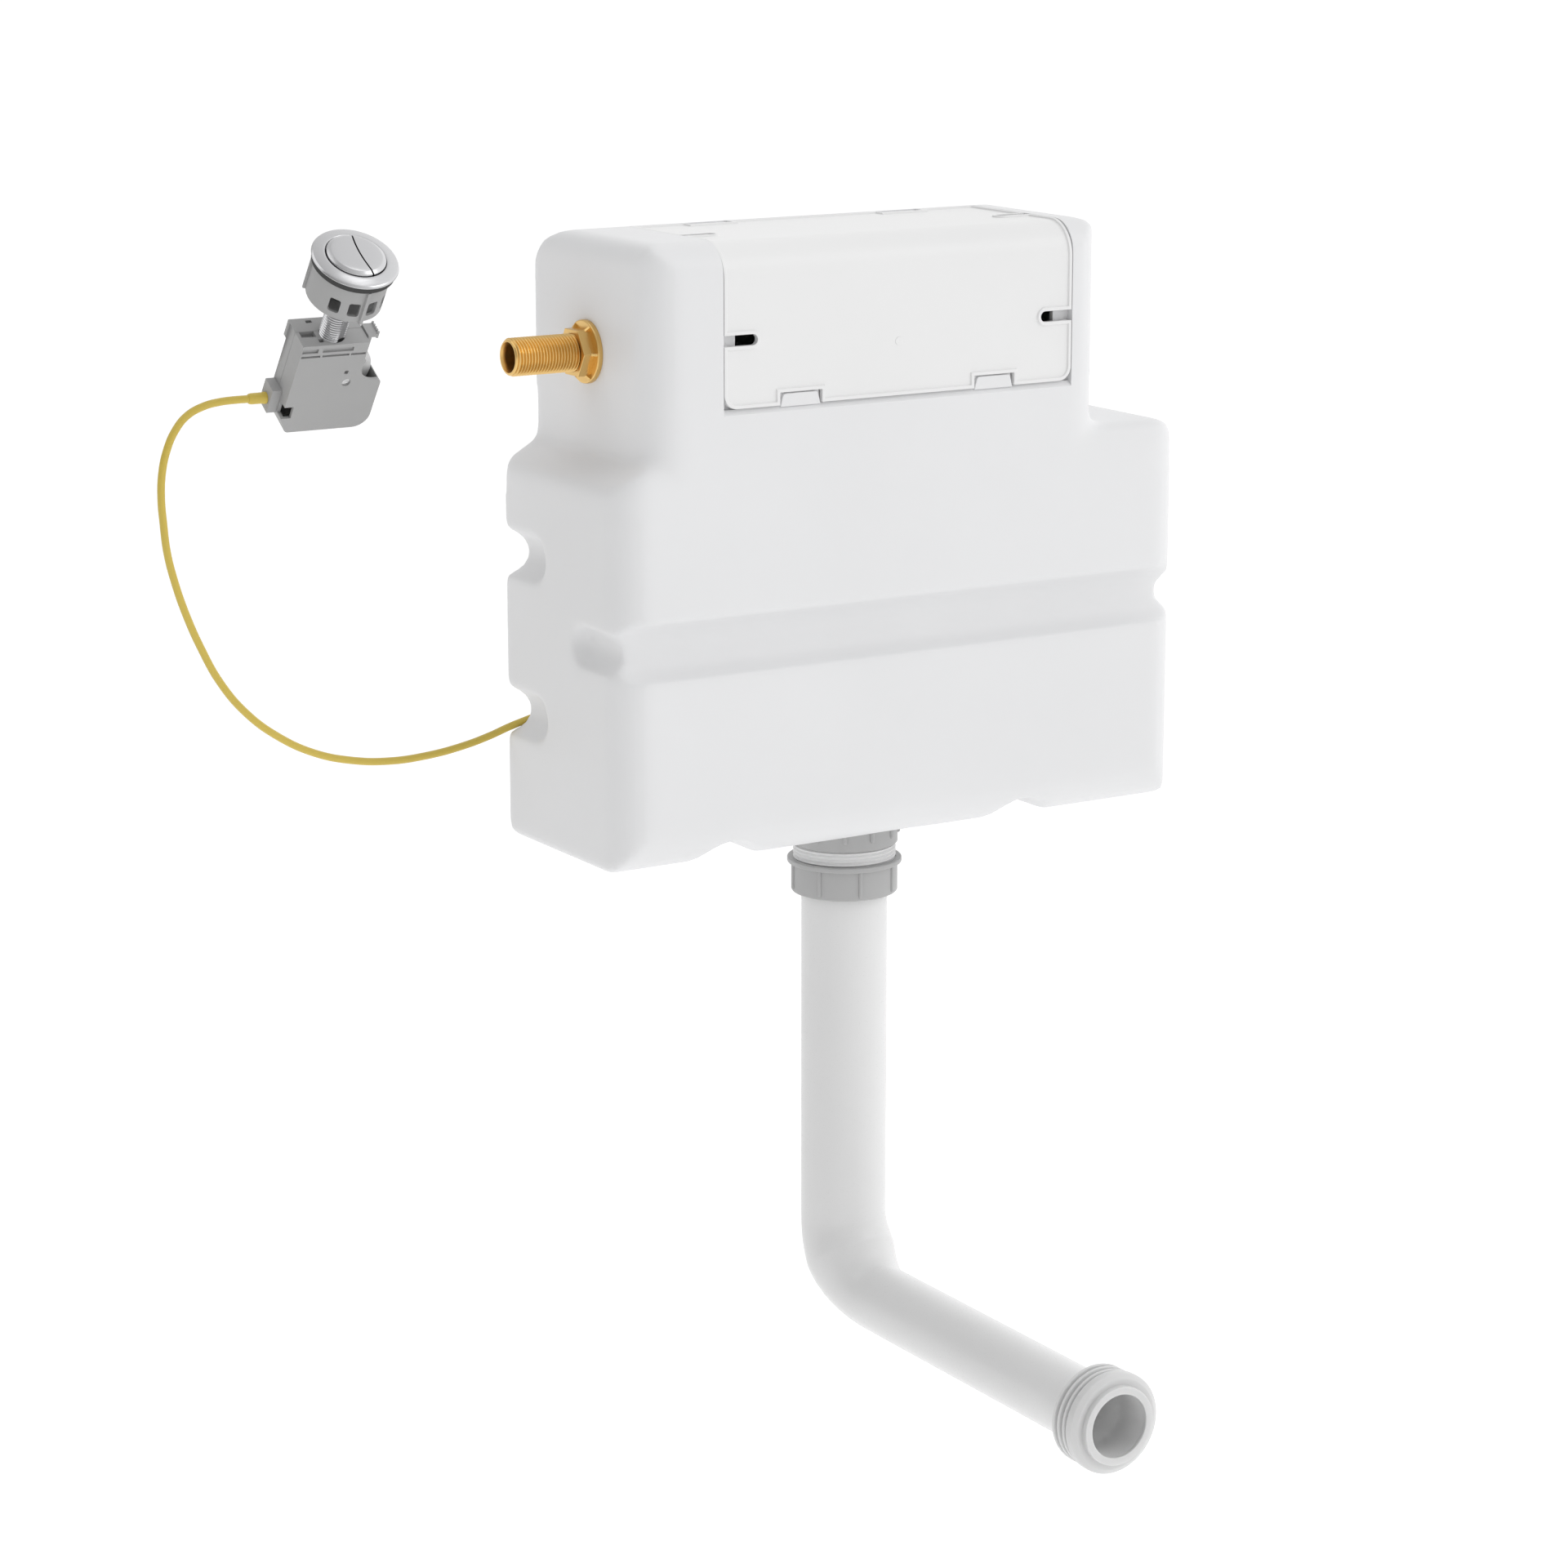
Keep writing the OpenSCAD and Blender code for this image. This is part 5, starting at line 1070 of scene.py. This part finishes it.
class CISTERN_OT_pipe(bpy.types.Operator):
    """Makes the flush pipe with its tapering bend, and the finned pan seal"""
    bl_idname = "cistern.pipe"
    bl_label = "Flush pipe"

    def execute(self, context):
        steps, bend, drop, top, reach = 28, 44, 289.5, -18.2, 275
        idle()
        bpy.ops.mesh.primitive_circle_add(vertices=72, radius=25 * MM, location=(0, 0, top * MM))
        pipe = named("flush_bend_pipe")
        fix_place()
        open_mesh(pipe)
        bpy.ops.mesh.extrude_region_move(TRANSFORM_OT_translate={"value": (0, 0, (bend - drop - top) * MM)})
        bpy.ops.mesh.spin(
            steps=steps, angle=math.pi / 2, center=(0, -bend * MM, (bend - drop) * MM), axis=(1, 0, 0)
        )
        bpy.ops.mesh.extrude_region_move(TRANSFORM_OT_translate={"value": (0, (bend - reach) * MM, 0)})
        weld()
        for k in range(1, steps + 1):
            a = math.pi / 2 * k / steps
            share = 1 + 0.07 * math.sin(2 * a) ** 2 - 0.2 * max(0.0, math.sin(a) ** 2 - 0.35) / 0.65
            middle = Vector((0, -bend * (1 - math.cos(a)), -drop + bend * (1 - math.sin(a))))
            along = Vector((0, -math.sin(a), -math.cos(a)))
            last = k == steps

            def on_ring(co):
                """True on this ring of the bend, and on the leg after the last one."""
                off = co - middle
                return off.length < 26 and abs(off.dot(along)) < 0.05 or last and co.y < -bend - 1

            choose(pipe, "VERT", on_ring)
            bpy.ops.transform.resize(
                value=(share, 1 if last else share, share), center_override=middle * MM
            )
        face_out()
        apply(pipe, "SOLIDIFY", thickness=2.1 * MM, offset=-1, use_even_offset=True, use_rim=True)
        soften(pipe, 0.4, 2, 60)
        settle(smooth(pipe, 40), OUTLET, "tank", finish("white_plastic"), "white_plastic", "flush_pipe")

        sleeve_r, fin_r, fin_step = 24.6, 28.1, 4.6
        fins = [(r, fin_step * k + z) for k in range(3)
                for r, z in ((sleeve_r, 0), (fin_r, 0.2), (fin_r, 2.2), (sleeve_r, 2.8))]
        seal = turn("pan_seal_rubber", [
            (20.1, 0), *fins, (sleeve_r, 13.8), (28.7, 13.8), (28.7, 18.5), (25.7, 20.4), (22.2, 20.4), (22.2, 24),
            (17.9, 24), (17.9, 21.6), (20.1, 21.6),
        ], 96)
        soften(seal, 0.5, 3, 25)
        settle(smooth(seal, 40), SEAL, "tank", finish("seal_white"), "seal_white", "pan_seal")

        ring = turn("pipe_seal_ring", [(25.1, -48.2), (29.4, -48.2), (29.4, -44.2), (25.1, -44.2)], 96)
        settle(smooth(soften(ring, 0.7, 3)), OUTLET, "tank", finish("rubber_black"), "rubber_black", "pipe_seal")
        return {"FINISHED"}


# Push button

def push_plate(name):
    """The crowned round plate before it is split."""
    dome = [(14.2 * math.cos(t), 1.62 + 0.78 * math.sin(t)) for t in (k * math.pi / 24 for k in range(12))]
    return turn(name, [(0, -5), (15.9, -5), (16, -4.8), (16, 0.5), (15.6, 0.95), *dome, (0, 2.4)], 128)


def split_tool(r):
    """The large round that splits the plate into its two halves."""
    return rod("split", r, (61.4, 0, -8), (61.4, 0, 6), 256)


class CISTERN_OT_button(bpy.types.Operator):
    """Makes the bezel, gasket, windowed cup and the two push plates"""
    bl_idname = "cistern.button"
    bl_label = "Push button"

    def execute(self, context):
        chrome, grey = finish("chrome"), finish("case_grey")
        bezel = turn("chrome_bezel", [
            (16.35, -0.4), (16.75, 0), (18, 0), (22.3, -1), (23.2, -1.7), (23.5, -2.2), (23.5, -2.5), (23.1, -2.8),
            (18.5, -2.8), (18.5, -14.4), (16.35, -14.4),
        ], 144)
        settle(smooth(soften(bezel, 0.2, 2, 40), 25), BUTTON, "tank", chrome, "chrome", "bezel")

        gasket = turn("black_panel_gasket", [(18.6, -6.4), (22.6, -6.4), (22.6, -2.85), (18.6, -2.85)], 96)
        settle(smooth(soften(gasket, 0.5, 3)), BUTTON, "tank", finish("rubber_black"), "rubber_black", "panel_gasket")

        cup = turn("grey_button_cup", [
            (7.2, -28.4), (19.4, -28.4), (20.5, -27.3), (20.5, -6.45), (18.8, -6.45), (18.8, -25.9), (7.2, -25.9)
        ], 128)
        fin = prism("fin", [(20, -28.4, 0), (22.1, -28.4, 0.5), (22.1, -7, 0.5), (20, -7, 0)], "Y", -1, 1, 4)
        round_copies(soften(fin, 0.25), 3)
        cut(cup, turned_to(fin, 32.5), how="UNION")
        # The side of the cup that faces the camera's left has no windows
        for k in range(10):
            window = prism("window", [
                (-3.1, -23.9, 1.3), (3.1, -23.9, 1.3), (3.1, -15.5, 1.3), (-3.1, -15.5, 1.3)
            ], "Y", -24, -15, 5)
            cut(cup, turned_to(window, 30 * k - 42.5))
        settle(smooth(soften(clean(cup), 0.3, 2, 40)), BUTTON, "tank", grey, "grey_plastic", "button_cup")

        full = cut(push_plate("full_flush_plate"), split_tool(60.4))
        settle(smooth(soften(clean(full), 0.22, 2, 40), 28), BUTTON, "full_press", chrome, "chrome", "full_button")
        half = cut(push_plate("half_flush_plate"), split_tool(59.6), how="INTERSECT")
        settle(smooth(soften(clean(half), 0.22, 2, 40), 28), BUTTON, "half_press", chrome, "chrome", "half_button")
        return {"FINISHED"}


class CISTERN_OT_stem(bpy.types.Operator):
    """Makes the plated threaded stem with its keyway flat"""
    bl_idname = "cistern.stem"
    bl_label = "Threaded stem"

    def execute(self, context):
        stem = threaded_bar("plated_stem", 7.1, 0.6, 1.5, -60.3, -28.2, 64)
        head = turn("head", [(0, -28.4), (7.1, -28.4), (7.1, -25.9), (8.4, -25.9), (8.4, -23.9), (0, -23.9)], 64)
        cut(stem, soften(head, 0.2), how="UNION")
        cut(stem, turned_to(block("keyway", (6.1, -6, -61), (9, 6, -28.5)), -62))
        cut(stem, rod("bore", 5.6, (0, 0, -62), (0, 0, -20), 64))
        settle(smooth(stem, 40), BUTTON, "tank", finish("bright_chrome"), "chrome", "threaded_stem")
        return {"FINISHED"}


class CISTERN_OT_springs(bpy.types.Operator):
    """Makes the two return springs of drawn wire"""
    bl_idname = "cistern.springs"
    bl_label = "Return springs"

    def execute(self, context):
        z0, z1, curls, wire_r = -25.5, -5.4, 7, 0.4
        for name, x, node, joint, travel in (
            ("full_return_spring", -12.2, "full_spring", "full_button_press", 9.5),
            ("half_return_spring", 12.2, "half_spring", "half_button_press", 4),
        ):
            idle()
            bpy.ops.mesh.primitive_circle_add(
                vertices=14, radius=wire_r * MM, location=(3.1 * MM, 0, z0 * MM), rotation=(math.pi / 2, 0, 0)
            )
            spring = named(name)
            fix_place()
            apply(
                spring, "SCREW", axis="Z", angle=FULL_TURN, screw_offset=(z1 - z0) / curls * MM, iterations=curls,
                steps=32, render_steps=32, use_merge_vertices=True, merge_threshold=1e-6,
            )
            open_mesh(spring)
            bpy.ops.mesh.remove_doubles(threshold=1e-6)
            bpy.ops.mesh.select_all(action="DESELECT")
            bpy.ops.mesh.select_non_manifold()
            bpy.ops.mesh.fill()
            face_out()
            place = BUTTON @ Matrix.Translation((x * MM, 0, 0))
            settle(smooth(spring, 50), place, "tank", finish("steel"), "steel", node)
            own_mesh(spring)
        return {"FINISHED"}


# Actuator

PIVOT_X, PIVOT_Z = 12.3, -82
WIRE_Y, WIRE_Z = 3.4, -100
CASE_OUTLINE = [
    (-20, -53.8, 0), (-20, -106, 2), (-15.4, -115.5, 3), (33.1, -115.5, 9), (33.1, -80.95, 3), (17.3, -82.4, 9.5),
    (20.2, -66.8, 0.4), (19.1, -66, 0.4), (19.1, -53.8, 0),
]
CASE_HOLLOW = [(-18.2, -57.8, 0), (-18.2, -105.6, 0), (-14.3, -113.7, 1), (31.3, -113.7, 7.2), (31.3, -57.8, 0)]


def case_solid(name, y0, y1, hollow0, hollow1):
    """One half of the case: its outline with the round cut-out, hollowed between two depths."""
    case = soften(prism(name, CASE_OUTLINE, "Y", y0, y1), 0.35, 2, 40)
    hollow = prism("hollow", CASE_HOLLOW, "Y", hollow0, hollow1)
    return cut(case, hollow, rod("stem_way", 7.2, (0, 0, -62), (0, 0, -50), 64))


def wire_way():
    """A cutter of the pull wire's way through the side of the case."""
    return rod("wire_way", 0.8, (-22, WIRE_Y, WIRE_Z), (-17, WIRE_Y, WIRE_Z), 24)


class CISTERN_OT_actuator(bpy.types.Operator):
    """Makes the two halves of the actuator's case and its release clip"""
    bl_idname = "cistern.actuator"
    bl_label = "Actuator"

    def execute(self, context):
        grey = finish("case_grey")
        case = case_solid("actuator_front_case", -8.7, 3, -6.9, 6)
        anchor = block("anchor", (-25.5, -1.6, -106.5), (-20.1, 8.9, -91))
        cut(anchor, block("anchor_root", (-24, -1.5, -106.4), (-19, 2.9, -91.1)), how="UNION")
        cut(case, soften(anchor, 0.3, 2, 40), how="UNION")
        cut(case, rod("pivot_hole", 2.55, (PIVOT_X, -12, PIVOT_Z), (PIVOT_X, 0, PIVOT_Z), 40))
        cut(case, prism("d_hole", [
            (9.2, -75.8, 1), (11.6, -75.8, 1), (11.6, -73.3, 0.2), (9.2, -73.3, 0.9)
        ], "Y", -12, 0, 4))
        cut(case, block("square_hole", (-21, -9.7, -105), (-14.6, -2.7, -97)))
        for u, v, low, high in (
            (0.4, 9.8, -59, -56.2), (12.4, 30.5, -59, -56.2), (0.6, 11.8, -62.2, -60.8), (13, 28.8, -62.2, -60.8),
            (29.8, 38.4, -62.2, -60.8),
        ):
            cut(case, block("slot", (-20 + u, -9.7, low), (-20 + v, -7.5, high)))
        cut(
            case, block("pocket", (-18, -1.5, -56.8), (-9.5, 5.4, -52)),
            block("pocket", (-9.5, -6, -56.8), (-6.5, -3.4, -52)),
            block("clip_way", (6.1, -5.5, -60.3), (20.1, 2.5, -57.3)),
            rod("ferrule_way", 2.4, (-27, WIRE_Y, WIRE_Z), (-21, WIRE_Y, WIRE_Z), 32),
            wire_way(),
        )
        settle(smooth(clean(case)), BUTTON, "tank", grey, "grey_plastic", "actuator_case")

        back = case_solid("actuator_rear_case", 3.1, 10.3, 0, 8.5)
        cut(back, soften(block("head", (-20, 9.3, -64.3), (19.1, 13.5, -53.8)), 0.35), how="UNION")
        cut(back, rod("boss", 4.5, (PIVOT_X, 5.95, PIVOT_Z), (PIVOT_X, 9.3, PIVOT_Z), 40), how="UNION")
        cut(
            back, rod("pin_way", 2.55, (PIVOT_X, 0, PIVOT_Z), (PIVOT_X, 8.5, PIVOT_Z), 40),
            block("latch", (-11, 9.5, -57.8), (-7.5, 11.5, -52)),
            wire_way(),
        )
        settle(smooth(clean(back)), BUTTON, "tank", grey, "grey_plastic", "actuator_cover")

        clip = block("serrated_release_clip", (19.45, -4, -54.8), (25.7, 5, -52.8))
        cut(
            clip, block("web", (19.45, -5, -59.8), (21.5, 5, -52.8)),
            block("tongue", (5.1, -5, -59.8), (21.1, 2, -58)), how="UNION",
        )
        for k in range(5):
            y = -3.2 + 2 * k
            cut(clip, rod("serration", 0.7, (25.7, y, -55.8), (25.7, y, -51.8), 16), how="UNION")
        cut(clip, rod("stem_way", 7.45, (0, 0, -62), (0, 0, -50), 64))
        settle(smooth(soften(clean(clip), 0.2, 2, 40)), BUTTON, "clip", grey, "grey_plastic", "release_clip")
        return {"FINISHED"}


# Pieces whose solids are shown as they are

SHOWN_SOLIDS = {
    "inner_white": [
        "fill_valve_body", "fill_tube", "float_cup", "lift_tube", "half_flush_float", "cable_drum", "half_lever",
    ],
    "inner_plastic": ["fill_valve_cap", "float_arm", "float_rod", "flush_basket", "valve_head", "lift_hook"],
    "rubber_black": ["outlet_gasket", "fill_diaphragm", "cable_gland"],
    "rubber_red": ["flush_seal"],
    "steel": ["float_pin", "lever_pin", "drum_wire", "lift_wire"],
    "case_grey": ["full_push_rod", "half_push_rod"],
    "cable_yellow": ["cable_end_ferrule"],
}


class CISTERN_OT_valves(bpy.types.Operator):
    """Gives the solids of the valves, levers and wires inside their finishes"""
    bl_idname = "cistern.valves"
    bl_label = "Valves and levers"

    def execute(self, context):
        for name, nodes in SHOWN_SOLIDS.items():
            for node in nodes:
                solid = frame["nodes"][node]
                for slot in solid.material_slots:
                    slot.material = finish(name)
        return {"FINISHED"}


class CISTERN_PT_panel(bpy.types.Panel):
    """Lists the cistern's sizes, colours and pieces"""
    bl_idname = "CISTERN_PT_panel"
    bl_label = "Cistern"
    bl_space_type = "VIEW_3D"
    bl_region_type = "UI"
    bl_category = "Cistern"

    def draw(self, context):
        column = self.layout.column(align=True)
        for maker in MAKERS:
            column.operator(maker.bl_idname)
        for group in (context.scene.cistern_sizes, context.scene.cistern_colours):
            box = self.layout.box()
            for label in group.__annotations__:
                box.prop(group, label)


MAKERS = (
    CISTERN_OT_stage, CISTERN_OT_cable, CISTERN_OT_tank, CISTERN_OT_cover, CISTERN_OT_inlet, CISTERN_OT_outlet,
    CISTERN_OT_pipe, CISTERN_OT_button, CISTERN_OT_stem, CISTERN_OT_springs, CISTERN_OT_actuator, CISTERN_OT_valves,
)
CLASSES = (CisternSizes, CisternColours, *MAKERS, CISTERN_PT_panel)


def register():
    for item in CLASSES:
        bpy.utils.register_class(item)
    bpy.types.Scene.cistern_sizes = PointerProperty(type=CisternSizes)
    bpy.types.Scene.cistern_colours = PointerProperty(type=CisternColours)


def unregister():
    del bpy.types.Scene.cistern_colours
    del bpy.types.Scene.cistern_sizes
    for item in reversed(CLASSES):
        bpy.utils.unregister_class(item)


def main():
    register()
    bpy.ops.cistern.stage()
    bpy.ops.cistern.cable()
    bpy.ops.cistern.tank()
    bpy.ops.cistern.cover()
    bpy.ops.cistern.inlet()
    bpy.ops.cistern.outlet()
    bpy.ops.cistern.pipe()
    bpy.ops.cistern.button()
    bpy.ops.cistern.stem()
    bpy.ops.cistern.springs()
    bpy.ops.cistern.actuator()
    bpy.ops.cistern.valves()
    idle()


if __name__ == "__main__":
    main()
